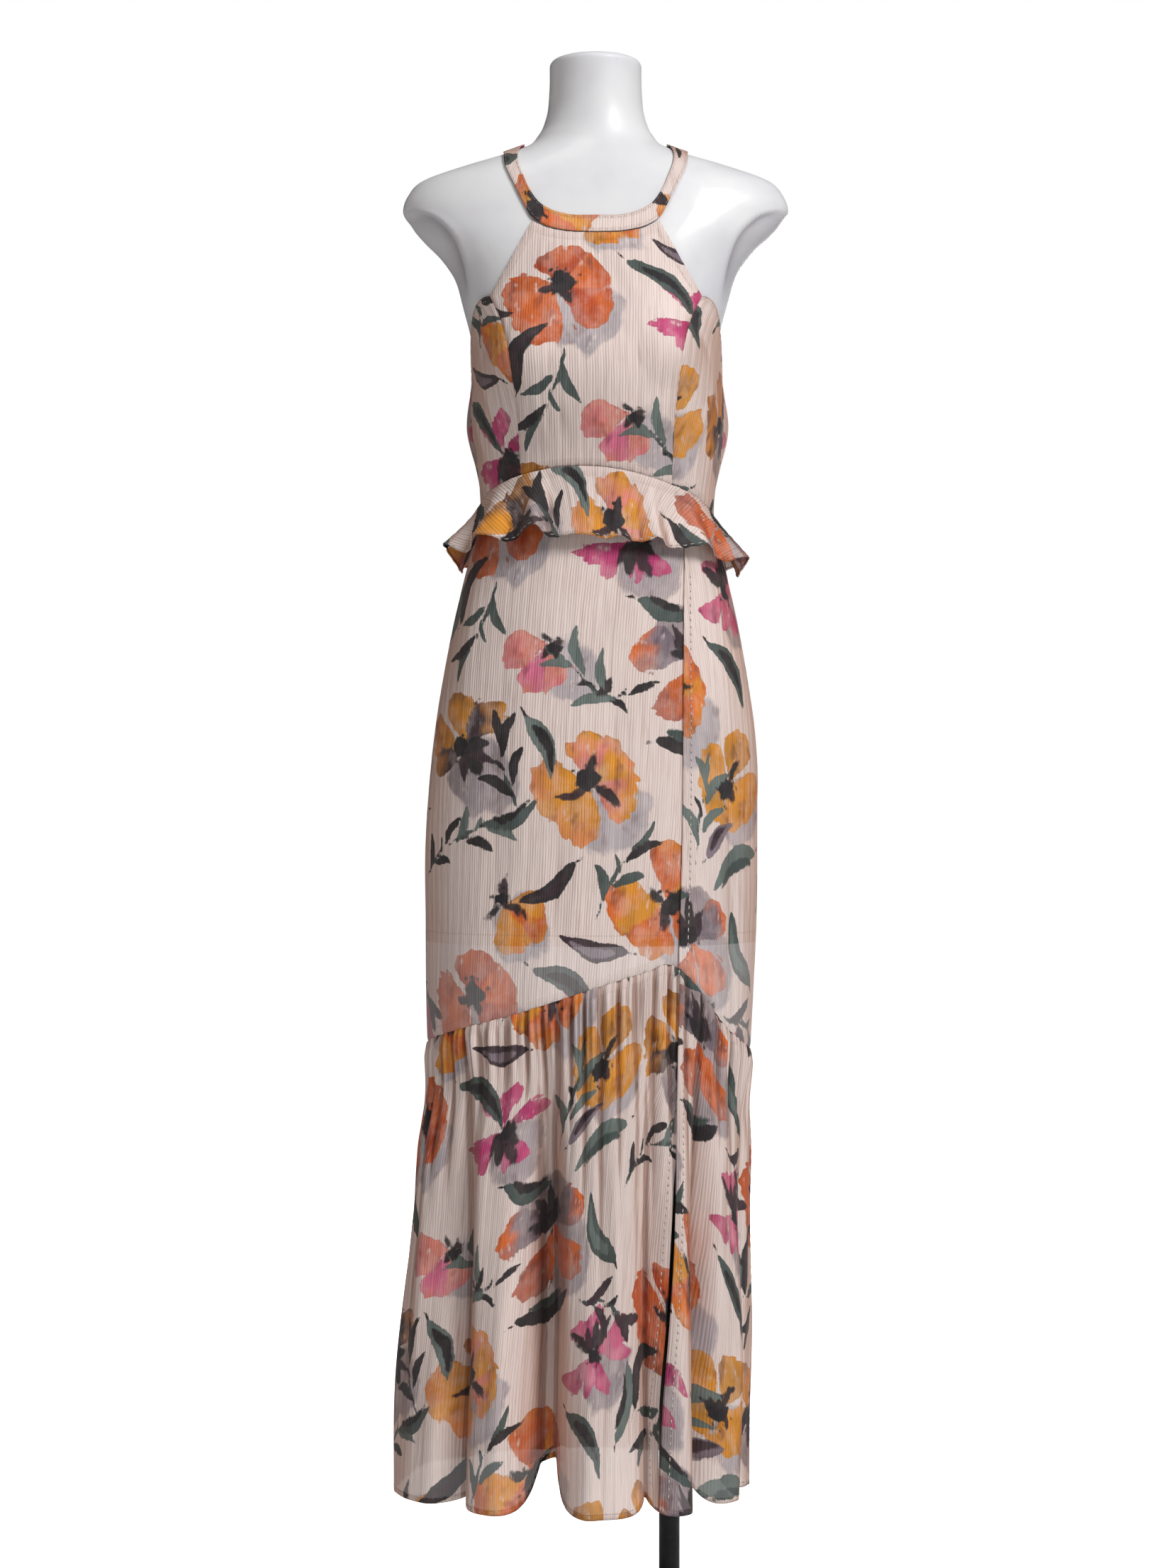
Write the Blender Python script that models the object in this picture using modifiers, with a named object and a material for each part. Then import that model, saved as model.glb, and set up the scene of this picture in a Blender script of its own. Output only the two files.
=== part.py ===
"""Halter-neck maxi dress worn by a limbless dress form on a pole stand.

Metres, +Z up. The dress faces -Y. Angles round the body start at the front centre and grow towards +X.
The origin is the centre of the stand's base plate, at its underside.
"""

import math
from collections import namedtuple

import bmesh
import bpy
import numpy as np
from mathutils import Vector

# Driving sizes
CLOTH = 0.0013          # thickness of every cloth wall
SEAM = 0.0003           # gap between two pieces that are sewn together
LAYER = 0.0008          # gap between two layers that lie on each other
EASE = 0.0036           # least distance from the form to the outside of the bodice
SKIRT_EASE = 0.0066     # the same for the skirt, with the lining between them
LINING_GAP = 0.0016     # from the skirt to its lining
BAND_GAP = 0.0016       # from the form to the neckband

POLE_X = 0.078          # the pole stands to one side of the body's centre
POLE_RADIUS = 0.011
PLATE_RADIUS = 0.170
PLATE_THICK = 0.008
COLLAR_RADIUS = 0.021
COLLAR_HEIGHT = 0.036
SOCKET_RADIUS = 0.018
SOCKET_HEIGHT = 0.055
SOCKET_ROOF = 0.005

WAIST_SIDE = 1.1725     # waist seam at the side and back
WAIST_RISE = 0.0525     # how far the seam arches up in front
WAIST_PEAK = -9.0       # the arch's middle, in degrees
SIDE_SEAM = 90.0
LINING_HEM = 0.735
HEM = 0.160

Section = namedtuple("Section", "height left right front back squareness")

FORM = [
    Section(1.664, 0.0485, 0.0485, 0.050, 0.056, 2.0),
    Section(1.630, 0.0490, 0.0490, 0.049, 0.058, 2.0),
    Section(1.603, 0.0525, 0.0525, 0.050, 0.062, 2.0),
    Section(1.585, 0.0605, 0.0605, 0.053, 0.069, 2.0),
    Section(1.571, 0.0750, 0.0750, 0.057, 0.077, 2.05),
    Section(1.5635, 0.0950, 0.0950, 0.060, 0.082, 2.1),
    Section(1.550, 0.1410, 0.1410, 0.065, 0.089, 2.2),
    Section(1.535, 0.1840, 0.1840, 0.070, 0.095, 2.25),
    Section(1.520, 0.1985, 0.1985, 0.075, 0.099, 2.3),
    Section(1.5045, 0.2035, 0.2035, 0.080, 0.102, 2.3),
    Section(1.489, 0.1985, 0.1985, 0.085, 0.105, 2.3),
    Section(1.4745, 0.1864, 0.1864, 0.090, 0.108, 2.35),
    Section(1.4595, 0.1710, 0.1710, 0.095, 0.110, 2.4),
    Section(1.440, 0.1565, 0.1565, 0.1005, 0.111, 2.4),
    Section(1.410, 0.1430, 0.1430, 0.1060, 0.111, 2.4),
    Section(1.370, 0.1315, 0.1315, 0.1110, 0.107, 2.4),
    Section(1.335, 0.1265, 0.1265, 0.1120, 0.102, 2.4),
    Section(1.290, 0.1235, 0.1235, 0.1060, 0.093, 2.35),
    Section(1.235, 0.1180, 0.1180, 0.0925, 0.081, 2.3),
    Section(1.180, 0.1150, 0.1150, 0.0845, 0.0755, 2.2),
    Section(1.130, 0.1280, 0.1280, 0.0890, 0.086, 2.2),
    Section(1.080, 0.1400, 0.1400, 0.0960, 0.100, 2.2),
    Section(1.020, 0.1515, 0.1515, 0.1030, 0.117, 2.2),
    Section(0.950, 0.1615, 0.1615, 0.1060, 0.1255, 2.2),
    Section(0.900, 0.1635, 0.1635, 0.1040, 0.1220, 2.2),
    Section(0.850, 0.1600, 0.1600, 0.0990, 0.1110, 2.2),
    Section(0.800, 0.1520, 0.1520, 0.0930, 0.1010, 2.2),
]

# Rings of the form's mesh: height, and how far the ring is drawn in at the closed ends
Ring = namedtuple("Ring", "height share")
FORM_RINGS = [
    Ring(1.6640, 0.90), Ring(1.6615, 0.985), Ring(1.6550, 1.0), Ring(1.6250, 1.0), Ring(1.6030, 1.0),
    Ring(1.5870, 1.0), Ring(1.5750, 1.0), Ring(1.5680, 1.0), Ring(1.5610, 1.0), Ring(1.5520, 1.0),
    Ring(1.5420, 1.0), Ring(1.5320, 1.0), Ring(1.5200, 1.0), Ring(1.5045, 1.0), Ring(1.4880, 1.0),
    Ring(1.4700, 1.0), Ring(1.4500, 1.0), Ring(1.4200, 1.0), Ring(1.3900, 1.0), Ring(1.3620, 1.0),
    Ring(1.3350, 1.0), Ring(1.3080, 1.0), Ring(1.2750, 1.0), Ring(1.2300, 1.0), Ring(1.1800, 1.0),
    Ring(1.1300, 1.0), Ring(1.0700, 1.0), Ring(1.0000, 1.0), Ring(0.9300, 1.0), Ring(0.8600, 1.0),
    Ring(0.8120, 1.0), Ring(0.8030, 0.985), Ring(0.8000, 0.93),
]
FORM_SEGMENTS = 40
FORM_BOTTOM = 0.800

BUST_ANGLE = 31.0
BUST_HEIGHT = 1.335
BUST_RISE = 0.026
BUST_SPREAD_ANGLE = 15.0
BUST_SPREAD_HEIGHT = 0.036

# Outside of the dress from the neck to the tier seam
GARMENT = [
    Section(1.490, 0.2000, 0.2000, 0.0870, 0.1060, 2.3),
    Section(1.4595, 0.1735, 0.1735, 0.0975, 0.1120, 2.4),
    Section(1.410, 0.1455, 0.1455, 0.1100, 0.1130, 2.4),
    Section(1.370, 0.1340, 0.1345, 0.1240, 0.1090, 2.4),
    Section(1.335, 0.1295, 0.1325, 0.1340, 0.1040, 2.45),
    Section(1.290, 0.1265, 0.1310, 0.1270, 0.0960, 2.4),
    Section(1.235, 0.1225, 0.1280, 0.1035, 0.0860, 2.3),
    Section(1.180, 0.1200, 0.1250, 0.0920, 0.0820, 2.2),
    Section(1.145, 0.1290, 0.1330, 0.0965, 0.0890, 2.2),
    Section(1.115, 0.1366, 0.1390, 0.1010, 0.0965, 2.2),
    Section(1.070, 0.1479, 0.1485, 0.1065, 0.1080, 2.2),
    Section(1.0245, 0.1576, 0.1560, 0.1110, 0.1200, 2.2),
    Section(0.980, 0.1651, 0.1615, 0.1145, 0.1290, 2.2),
    Section(0.9345, 0.1711, 0.1664, 0.1170, 0.1325, 2.2),
    Section(0.8895, 0.1756, 0.1686, 0.1195, 0.1330, 2.15),
    Section(0.8445, 0.1786, 0.1694, 0.1220, 0.1330, 2.1),
    Section(0.7545, 0.1786, 0.1686, 0.1275, 0.1340, 2.1),
    Section(0.687, 0.1786, 0.1656, 0.1310, 0.1350, 2.1),
    Section(0.600, 0.1770, 0.1615, 0.1330, 0.1370, 2.1),
]

# Crests of the tier's folds, below the tier seam
TIER = [
    Section(0.720, 0.1790, 0.1670, 0.1295, 0.1350, 2.1),
    Section(0.620, 0.1780, 0.1615, 0.1330, 0.1375, 2.1),
    Section(0.530, 0.1895, 0.1655, 0.1380, 0.1430, 2.1),
    Section(0.440, 0.1970, 0.1645, 0.1420, 0.1490, 2.1),
    Section(0.350, 0.2050, 0.1660, 0.1460, 0.1560, 2.1),
    Section(0.260, 0.2130, 0.1645, 0.1500, 0.1620, 2.1),
    Section(0.150, 0.2180, 0.1635, 0.1540, 0.1680, 2.1),
]

# The back bodice stands off the form just behind each side seam
PUFF_ANGLE = 112.0
PUFF_SPREAD = 15.0
PUFF_HEIGHT = 1.275
PUFF_TALL = 0.034
PUFF_RISE = 0.018

# Soft upright folds of the skirt's front and back
SkirtFold = namedtuple("SkirtFold", "angle spread rise top bottom")
SKIRT_FOLDS = [
    SkirtFold(-52.0, 7.0, 0.0035, 1.06, 0.62),
    SkirtFold(-24.0, 6.0, 0.0022, 0.95, 0.62),
    SkirtFold(6.0, 8.0, 0.0026, 0.92, 0.62),
    SkirtFold(72.0, 8.0, 0.0030, 1.00, 0.60),
    SkirtFold(128.0, 9.0, 0.0040, 0.96, 0.60),
    SkirtFold(176.0, 9.0, 0.0040, 0.94, 0.60),
    SkirtFold(-136.0, 9.0, 0.0040, 0.96, 0.60),
]

# Folds of the gathered tier at the hem: crest angle and half width in degrees
TierFold = namedtuple("TierFold", "angle half_width")
TIER_FOLDS = [
    TierFold(-75.5, 21.0),
    TierFold(-40.0, 14.0),
    TierFold(2.0, 21.0),
    TierFold(34.0, 11.5),
    TierFold(62.0, 14.5),
    TierFold(91.0, 14.5),
    TierFold(120.0, 14.0),
    TierFold(149.0, 15.0),
    TierFold(179.0, 15.0),
    TierFold(-151.0, 15.0),
    TierFold(-119.0, 16.0),
]

# Valleys between the folds: angle, depth at the hem and how much higher the hem stands there
TierValley = namedtuple("TierValley", "angle depth lift")
TIER_VALLEYS = [
    TierValley(-180.0, 0.028, 0.012),
    TierValley(-130.0, 0.028, 0.012),
    TierValley(-96.0, 0.030, 0.034),
    TierValley(-51.0, 0.034, 0.020),
    TierValley(-20.0, 0.060, 0.046),
    TierValley(22.0, 0.028, 0.016),
    TierValley(45.0, 0.046, 0.040),
    TierValley(76.0, 0.028, 0.018),
    TierValley(120.0, 0.028, 0.012),
    TierValley(180.0, 0.028, 0.012),
]
TIER_GATHERS = 50       # small gathers all round the tier seam
GATHER_SHIFT = 1.1      # how unevenly they are spaced
GATHER_RISE = 0.0026

# Ruffle at the waist: crest angle and half width in degrees, how far the crest stands out
RuffleFold = namedtuple("RuffleFold", "angle half_width rise")
RUFFLE_FOLDS = [
    RuffleFold(-86.0, 13.0, 0.020),
    RuffleFold(-58.0, 13.0, 0.014),
    RuffleFold(-34.0, 9.5, 0.017),
    RuffleFold(-8.0, 14.0, 0.004),
    RuffleFold(13.0, 8.0, 0.004),
    RuffleFold(31.0, 7.5, 0.009),
    RuffleFold(52.0, 11.0, 0.010),
    RuffleFold(80.0, 14.0, 0.016),
    RuffleFold(108.0, 13.0, 0.016),
    RuffleFold(135.0, 13.0, 0.018),
    RuffleFold(162.0, 13.0, 0.016),
    RuffleFold(-171.0, 13.0, 0.018),
    RuffleFold(-144.0, 13.0, 0.016),
    RuffleFold(-116.0, 14.0, 0.018),
]
RUFFLE_DROP_SIDE = 0.052
RUFFLE_DROP_FRONT = 0.021   # added towards the front centre
RUFFLE_FLARE = 0.011

EdgePoint = namedtuple("EdgePoint", "key value")

# Distance of the princess seam from the centre line, by height; above the armhole it is the armhole's edge
PRINCESS = [
    EdgePoint(1.160, 0.0780), EdgePoint(1.216, 0.0790), EdgePoint(1.267, 0.0815), EdgePoint(1.322, 0.0870),
    EdgePoint(1.357, 0.0930), EdgePoint(1.383, 0.1010), EdgePoint(1.402, 0.1100),
]
ARMHOLE_UPPER = [
    EdgePoint(1.402, 0.1100), EdgePoint(1.425, 0.0955), EdgePoint(1.4545, 0.0790),
    EdgePoint(1.4760, 0.0675), EdgePoint(1.4950, 0.0600),
]
PRINCESS_TOP = 1.402

# Height of the armhole's lower edge by angle, on round the back
ARMHOLE_LOWER = [
    EdgePoint(53.0, 1.402), EdgePoint(62.0, 1.387), EdgePoint(72.0, 1.365), EdgePoint(81.0, 1.344),
    EdgePoint(90.0, 1.327), EdgePoint(105.0, 1.318), EdgePoint(130.0, 1.314), EdgePoint(180.0, 1.312),
]

# The neckband's two edges by angle, from the front centre to the back of the neck
BAND_UPPER = [
    EdgePoint(0.0, 1.4833), EdgePoint(20.0, 1.4850), EdgePoint(30.5, 1.4914), EdgePoint(36.5, 1.4990),
    EdgePoint(43.2, 1.5150), EdgePoint(49.0, 1.5330), EdgePoint(57.0, 1.5530), EdgePoint(67.0, 1.5650),
    EdgePoint(90.0, 1.5720), EdgePoint(120.0, 1.5780), EdgePoint(150.0, 1.5820), EdgePoint(180.0, 1.5830),
]
BAND_LOWER = [
    EdgePoint(0.0, 1.4655), EdgePoint(19.5, 1.4675), EdgePoint(31.4, 1.4740), EdgePoint(38.5, 1.4835),
    EdgePoint(45.0, 1.5030), EdgePoint(52.6, 1.5270), EdgePoint(61.6, 1.5495), EdgePoint(73.0, 1.5600),
    EdgePoint(90.0, 1.5645), EdgePoint(120.0, 1.5650), EdgePoint(150.0, 1.5650), EdgePoint(180.0, 1.5655),
]
BAND_LAP = 9.0          # the band's ends lap over each other at the back, in degrees
BUTTON_RADIUS = 0.0055
BUTTON_THICK = 0.0030

# Where the wrap's free edge lies, as distance from the centre line, by height
WRAP_EDGE = [
    EdgePoint(1.230, 0.0830), EdgePoint(1.160, 0.0905), EdgePoint(1.060, 0.0900), EdgePoint(0.950, 0.0885),
    EdgePoint(0.820, 0.0870), EdgePoint(0.7155, 0.0838), EdgePoint(0.690, 0.0830),
]
WRAP_UNDERLAP = 12.0    # the panel beneath runs on this many degrees

# The tier's slit: free edge of the upper and of the lower layer
TIER_OVER_EDGE = [
    EdgePoint(0.7155, 0.0838), EdgePoint(0.620, 0.0815), EdgePoint(0.530, 0.0796), EdgePoint(0.450, 0.0782),
    EdgePoint(0.350, 0.0725), EdgePoint(0.270, 0.0660), EdgePoint(0.160, 0.0610),
]
TIER_UNDER_EDGE = [
    EdgePoint(0.7155, 0.1050), EdgePoint(0.620, 0.0950), EdgePoint(0.530, 0.0820), EdgePoint(0.450, 0.0715),
    EdgePoint(0.350, 0.0640), EdgePoint(0.270, 0.0580), EdgePoint(0.160, 0.0640),
]

# Height of the seam between skirt and tier, by angle
TIER_SEAM = [
    EdgePoint(-180.0, 0.6150), EdgePoint(-130.0, 0.6170), EdgePoint(-90.0, 0.6270),
    EdgePoint(-64.0, 0.6440), EdgePoint(-36.0, 0.6650), EdgePoint(0.0, 0.6935),
    EdgePoint(22.0, 0.7090), EdgePoint(34.0, 0.7155), EdgePoint(45.0, 0.6900), EdgePoint(55.0, 0.6600),
    EdgePoint(68.0, 0.6350), EdgePoint(90.0, 0.6200), EdgePoint(130.0, 0.6160), EdgePoint(180.0, 0.6150),
]


def curve_through(knots, values, at):
    """Smooth curve through the knots, flat beyond both ends. Works on arrays."""
    knots = np.asarray(knots, float)
    values = np.asarray(values, float)
    at = np.clip(np.asarray(at, float), knots[0], knots[-1])
    slopes = np.gradient(values, knots)
    i = np.clip(np.searchsorted(knots, at, side="right") - 1, 0, len(knots) - 2)
    step = knots[i + 1] - knots[i]
    t = (at - knots[i]) / step
    return (
        values[i] * (2 * t**3 - 3 * t**2 + 1)
        + slopes[i] * step * (t**3 - 2 * t**2 + t)
        + values[i + 1] * (3 * t**2 - 2 * t**3)
        + slopes[i + 1] * step * (t**3 - t**2)
    )


def along(edge, key):
    """Value of an edge table at the given keys."""
    rows = sorted(edge)
    return curve_through([row.key for row in rows], [row.value for row in rows], key)


def section_radius(sections, angle, height):
    """Distance from the upright axis to a superellipse section, by angle in radians and height."""
    rows = sorted(sections)
    heights = [row.height for row in rows]
    left, right, front, back, square = (
        curve_through(heights, [getattr(row, column) for row in rows], height)
        for column in ("left", "right", "front", "back", "squareness")
    )
    across = np.where(np.sin(angle) > 0, right, left)
    deep = np.where(np.cos(angle) > 0, front, back)
    inverse = np.abs(np.sin(angle) / across) ** square + np.abs(np.cos(angle) / deep) ** square
    return inverse ** (-1 / square)


def turn_between(angle, centre):
    """Signed degrees from centre to angle, from -180 to 180."""
    return (np.degrees(angle) - centre + 180.0) % 360.0 - 180.0


def hill(distance, spread):
    """Bell curve of height 1."""
    return np.exp(-0.5 * (distance / spread) ** 2)


def soft_step(value):
    """0 below 0, 1 above 1 and smooth between."""
    t = np.clip(value, 0.0, 1.0)
    return t * t * (3 - 2 * t)


def soft_greater(a, b, blend=0.002):
    """The greater of two lengths, rounded off where they cross."""
    return np.maximum(a, b) + blend * np.log1p(np.exp(-np.abs(a - b) / blend)) * 0.7


def form_radius(angle, height):
    """The dress form's surface."""
    bust = sum(
        hill(turn_between(angle, side * BUST_ANGLE), BUST_SPREAD_ANGLE) for side in (-1, 1)
    ) * hill(height - BUST_HEIGHT, BUST_SPREAD_HEIGHT)
    return section_radius(FORM, angle, height) + BUST_RISE * bust


def garment_radius(angle, height):
    """The outside of the bodice and skirt."""
    shape = section_radius(GARMENT, angle, height)
    puff = sum(hill(turn_between(angle, side * PUFF_ANGLE), PUFF_SPREAD) for side in (-1, 1))
    shape = shape + PUFF_RISE * puff * hill(height - PUFF_HEIGHT, PUFF_TALL)
    for fold in SKIRT_FOLDS:
        grown = soft_step((fold.top - height) / (fold.top - fold.bottom))
        shape = shape + fold.rise * grown * hill(turn_between(angle, fold.angle), fold.spread)
    ease = EASE + (SKIRT_EASE - EASE) * soft_step((1.235 - height) / 0.03)
    return soft_greater(shape, form_radius(angle, height) + ease)


def waist_height(angle):
    """The waist seam, which arches up in front."""
    away = np.clip(np.abs(turn_between(angle, WAIST_PEAK)) * 0.9, 0.0, 90.0)
    return WAIST_SIDE + WAIST_RISE * np.cos(np.radians(away))


def tier_seam_height(angle):
    return along(TIER_SEAM, turn_between(angle, 0.0))


def on_axis(angle, radius, height):
    """Point at an angle and a distance from the upright axis."""
    angle, radius, height = np.broadcast_arrays(angle, radius, height)
    return np.stack([radius * np.sin(angle), -radius * np.cos(angle), height], axis=-1)


def angle_of_offset(offset, height, radius_of):
    """Angle at which the surface lies that far to the right of the centre line, in front."""
    angle = np.full(np.shape(offset), 0.6)
    for _ in range(25):
        angle = np.arcsin(np.clip(offset / radius_of(angle, height), -0.98, 0.98))
    return angle


def new_object(name, bm, material, collection):
    mesh = bpy.data.meshes.new(name)
    bm.to_mesh(mesh)
    bm.free()
    mesh.materials.append(material)
    obj = bpy.data.objects.new(name, mesh)
    collection.objects.link(obj)
    return obj


def surface_normals(place, u, v, step=0.002):
    """Unit normals of the surface place(u, v), to either side."""
    normal = np.cross(place(u + step, v) - place(u - step, v), place(u, v + step) - place(u, v - step))
    return normal / np.linalg.norm(normal, axis=1, keepdims=True)


def cloth_panel(name, across, down, place, material, collection, closed=False):
    """A wall of cloth. place(u, v) gives its outside, u across and v up or down, at the listed shares."""
    bm = bmesh.new()
    columns, rows = len(across) - 1, len(down) - 1
    bmesh.ops.create_grid(bm, x_segments=columns, y_segments=rows, size=1.0)
    column = np.array([round((vert.co.x + 1) / 2 * columns) for vert in bm.verts])
    row = np.array([round((vert.co.y + 1) / 2 * rows) for vert in bm.verts])
    u, v = np.asarray(across)[column], np.asarray(down)[row]
    outside = place(u, v)
    number = bm.verts.layers.int.new("number")
    for i, vert in enumerate(bm.verts):
        vert.co = outside[i]
        vert[number] = i
    if closed:
        bmesh.ops.remove_doubles(bm, verts=bm.verts[:], dist=0.00001)
    bmesh.ops.triangulate(bm, faces=bm.faces[:])
    bm.normal_update()
    facing = math.copysign(1.0, sum(vert.normal.xy @ vert.co.xy for vert in bm.verts))
    smooth = surface_normals(place, u, v)
    inside = {}
    for vert in bm.verts:
        normal = vert.normal * facing
        depth = CLOTH * min(vert.calc_shell_factor(), 2.0)
        if not closed and column[vert[number]] in (0, columns):
            # both pieces of an upright seam share this normal, so that their walls don't cross
            normal = Vector(smooth[vert[number]])
            normal *= math.copysign(CLOTH / depth, normal.dot(vert.normal) * facing)
        inside[vert[number]] = vert.co - depth * normal
    wall = bmesh.ops.extrude_face_region(bm, geom=bm.faces[:], use_keep_orig=True)
    for vert in wall["geom"]:
        if isinstance(vert, bmesh.types.BMVert):
            vert.co = inside[vert[number]]
    bm.normal_update()
    bmesh.ops.recalc_face_normals(bm, faces=bm.faces[:])
    return new_object(name, bm, material, collection)


def shares(count):
    return np.linspace(0.0, 1.0, count + 1)


def inset(angle, radius, side):
    """Moves a seam's angle by half the seam gap, towards side."""
    return angle + side * 0.5 * SEAM / radius


# Dress form

def build_form(material, collection):
    bm = bmesh.new()
    bmesh.ops.create_uvsphere(bm, u_segments=FORM_SEGMENTS, v_segments=len(FORM_RINGS) + 1, radius=1.0)
    for vert in bm.verts:
        ring = round(math.acos(max(-1.0, min(1.0, vert.co.z))) / math.pi * (len(FORM_RINGS) + 1))
        if ring == 0 or ring == len(FORM_RINGS) + 1:
            end = FORM_RINGS[0] if ring == 0 else FORM_RINGS[-1]
            vert.co = (0.0, 0.0, end.height)
            continue
        level = FORM_RINGS[ring - 1]
        angle = math.atan2(vert.co.x, -vert.co.y)
        vert.co = on_axis(angle, float(form_radius(angle, level.height)) * level.share, level.height)
    bmesh.ops.recalc_face_normals(bm, faces=bm.faces[:])
    obj = new_object("dress_form", bm, material, collection)
    obj.data.shade_smooth()


# Bodice

SEAM_ROWS = 10
EDGE_ROWS = 5


def princess_angle(height, side):
    """Angle of the princess seam, or above it of the armhole's edge."""
    offset = np.where(height <= PRINCESS_TOP, along(PRINCESS, height), along(ARMHOLE_UPPER, height))
    return side * angle_of_offset(offset, height, garment_radius)


def princess_foot(side):
    """Height at which the princess seam meets the waist seam."""
    height = WAIST_SIDE + WAIST_RISE * 0.8
    for _ in range(12):
        height = float(waist_height(princess_angle(height, side)))
    return height + SEAM


def neck_corner(side):
    """Height at which the armhole's edge meets the neckband."""
    height = 1.48
    for _ in range(12):
        height = float(along(BAND_LOWER, abs(math.degrees(princess_angle(height, side))))) - SEAM
    return height


def centre_edge(side, v):
    """Angle and height along one edge of the centre panel, v from the waist to the neckband."""
    foot, corner = princess_foot(side), neck_corner(side)
    split = SEAM_ROWS / (SEAM_ROWS + EDGE_ROWS)
    height = np.where(
        v <= split,
        foot + (PRINCESS_TOP - foot) * v / split,
        PRINCESS_TOP + (corner - PRINCESS_TOP) * (v - split) / (1 - split),
    )
    return inset(princess_angle(height, side), 0.13, -side), height


def bodice_centre(u, v):
    """u from left to right, v from the waist to the neckband."""
    left, right = centre_edge(-1, v), centre_edge(1, v)
    angle, height = (left[i] + (right[i] - left[i]) * u for i in (0, 1))
    for end, weight in ((0.0, (1 - v) ** 2), (1.0, v**3)):
        left, right = centre_edge(-1, v * 0 + end), centre_edge(1, v * 0 + end)
        turn, chord = (left[i] + (right[i] - left[i]) * u for i in (0, 1))
        line = waist_height(turn) + SEAM
        if end == 1.0:
            line = along(BAND_LOWER, np.abs(np.degrees(turn))) - SEAM
        height = height + (line - chord) * weight
    return on_axis(angle, garment_radius(angle, height), height)


def bodice_side(side):
    """u from the princess seam to the side seam, v from the waist to the armhole."""

    def place(u, v):
        foot = princess_foot(side)
        edge_height = foot + (PRINCESS_TOP - foot) * v
        start = inset(princess_angle(edge_height, side), 0.13, side)
        end = side * (math.radians(SIDE_SEAM) - 0.5 * SEAM / 0.13)
        angle = start + (end - start) * u
        bottom = waist_height(angle) + SEAM
        top = along(ARMHOLE_LOWER, np.abs(np.degrees(angle)))
        top = top + (PRINCESS_TOP - top) * (1 - u) ** 4
        height = bottom + (top - bottom) * v
        height = height + (edge_height - height) * (1 - u) ** 6
        return on_axis(angle, garment_radius(angle, height), height)

    return place


def bodice_back(side):
    """u from the side seam to the back centre, v from the waist up."""

    def place(u, v):
        start = math.radians(SIDE_SEAM) + 0.5 * SEAM / 0.13
        end = math.pi - 0.5 * SEAM / 0.09
        angle = side * (start + (end - start) * u)
        bottom = waist_height(angle) + SEAM
        top = along(ARMHOLE_LOWER, np.abs(np.degrees(angle)))
        height = bottom + (top - bottom) * v
        return on_axis(angle, garment_radius(angle, height), height)

    return place


# Neckband

def neckband(u, v):
    """u round the neck from one end to the other, v from the upper to the lower edge."""
    turn = np.radians(-180.0 - BAND_LAP + u * (360.0 + BAND_LAP))
    key = np.abs((np.degrees(turn) + 180.0) % 360.0 - 180.0)
    upper = along(BAND_UPPER, key)
    lower = along(BAND_LOWER, key)
    height = upper + (lower - upper) * v
    base = on_axis(turn, form_radius(turn, height), height)
    step = 0.002
    around = on_axis(turn + step, form_radius(turn + step, height), height) - base
    upward = on_axis(turn, form_radius(turn, height + step), height + step) - base
    normal = np.cross(around, upward)
    normal /= np.linalg.norm(normal, axis=1, keepdims=True)
    lapped = soft_step((np.degrees(-turn) - 180.0 + BAND_LAP + 4.0) / 5.0)
    lift = CLOTH + BAND_GAP + lapped * (CLOTH + LAYER)
    return base + normal * np.reshape(lift, (-1, 1))


def build_button(material, collection):
    """Covered button on the lapped ends of the neckband, at the back centre."""
    bm = bmesh.new()
    bmesh.ops.create_cone(
        bm, cap_ends=True, segments=20, depth=BUTTON_THICK,
        radius1=BUTTON_RADIUS, radius2=BUTTON_RADIUS * 0.72,
    )
    height = (float(along(BAND_UPPER, 180.0)) + float(along(BAND_LOWER, 180.0))) / 2
    lean = math.atan2(
        float(form_radius(math.pi, height - 0.006)) - float(form_radius(math.pi, height + 0.006)), 0.012
    )
    # the cone's axis turns from +Z to the outward normal of the neck's sloping back
    for vert in bm.verts:
        x, y, z = vert.co
        vert.co = (x, y * math.sin(lean) + z * math.cos(lean), z * math.sin(lean) - y * math.cos(lean))
    clear = 2 * CLOTH + LAYER + BAND_GAP + SEAM + 0.0004
    out = float(form_radius(math.pi, height)) + clear / math.cos(lean)
    for vert in bm.verts:
        vert.co.y += out + BUTTON_THICK / 2 * math.cos(lean)
        vert.co.z += height + BUTTON_THICK / 2 * math.sin(lean)
    bmesh.ops.recalc_face_normals(bm, faces=bm.faces[:])
    new_object("neck_button", bm, material, collection)


# Ruffle at the waist

def ruffle_wave(angle):
    wave = np.zeros(np.shape(angle))
    for fold in RUFFLE_FOLDS:
        away = np.clip(np.abs(turn_between(angle, fold.angle)) / fold.half_width, 0.0, 1.0)
        wave = wave + fold.rise * np.cos(away * math.pi / 2) ** 2
    return wave


def ruffle(start, end):
    """u from start to end in degrees, v from the seam to the ruffle's hem."""

    def place(u, v):
        first = inset(math.radians(start), 0.125, 1)
        last = inset(math.radians(end), 0.125, -1)
        angle = first + (last - first) * u
        front = np.clip(np.cos(angle), 0.0, 1.0)
        drop = RUFFLE_DROP_SIDE + RUFFLE_DROP_FRONT * front - 0.8 * ruffle_wave(angle)
        height = waist_height(angle) - drop * v
        edge = wrap_angle(height)
        lapped = over_lift(angle, edge) * soft_step((angle - edge + 0.07) / 0.06) * (angle < 1.6)
        out = CLOTH + LAYER + lapped + RUFFLE_FLARE * v + ruffle_wave(angle) * np.maximum(v, 0.0) ** 1.1
        return on_axis(angle, garment_radius(angle, height) + out, height)

    return place


# Skirt

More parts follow.
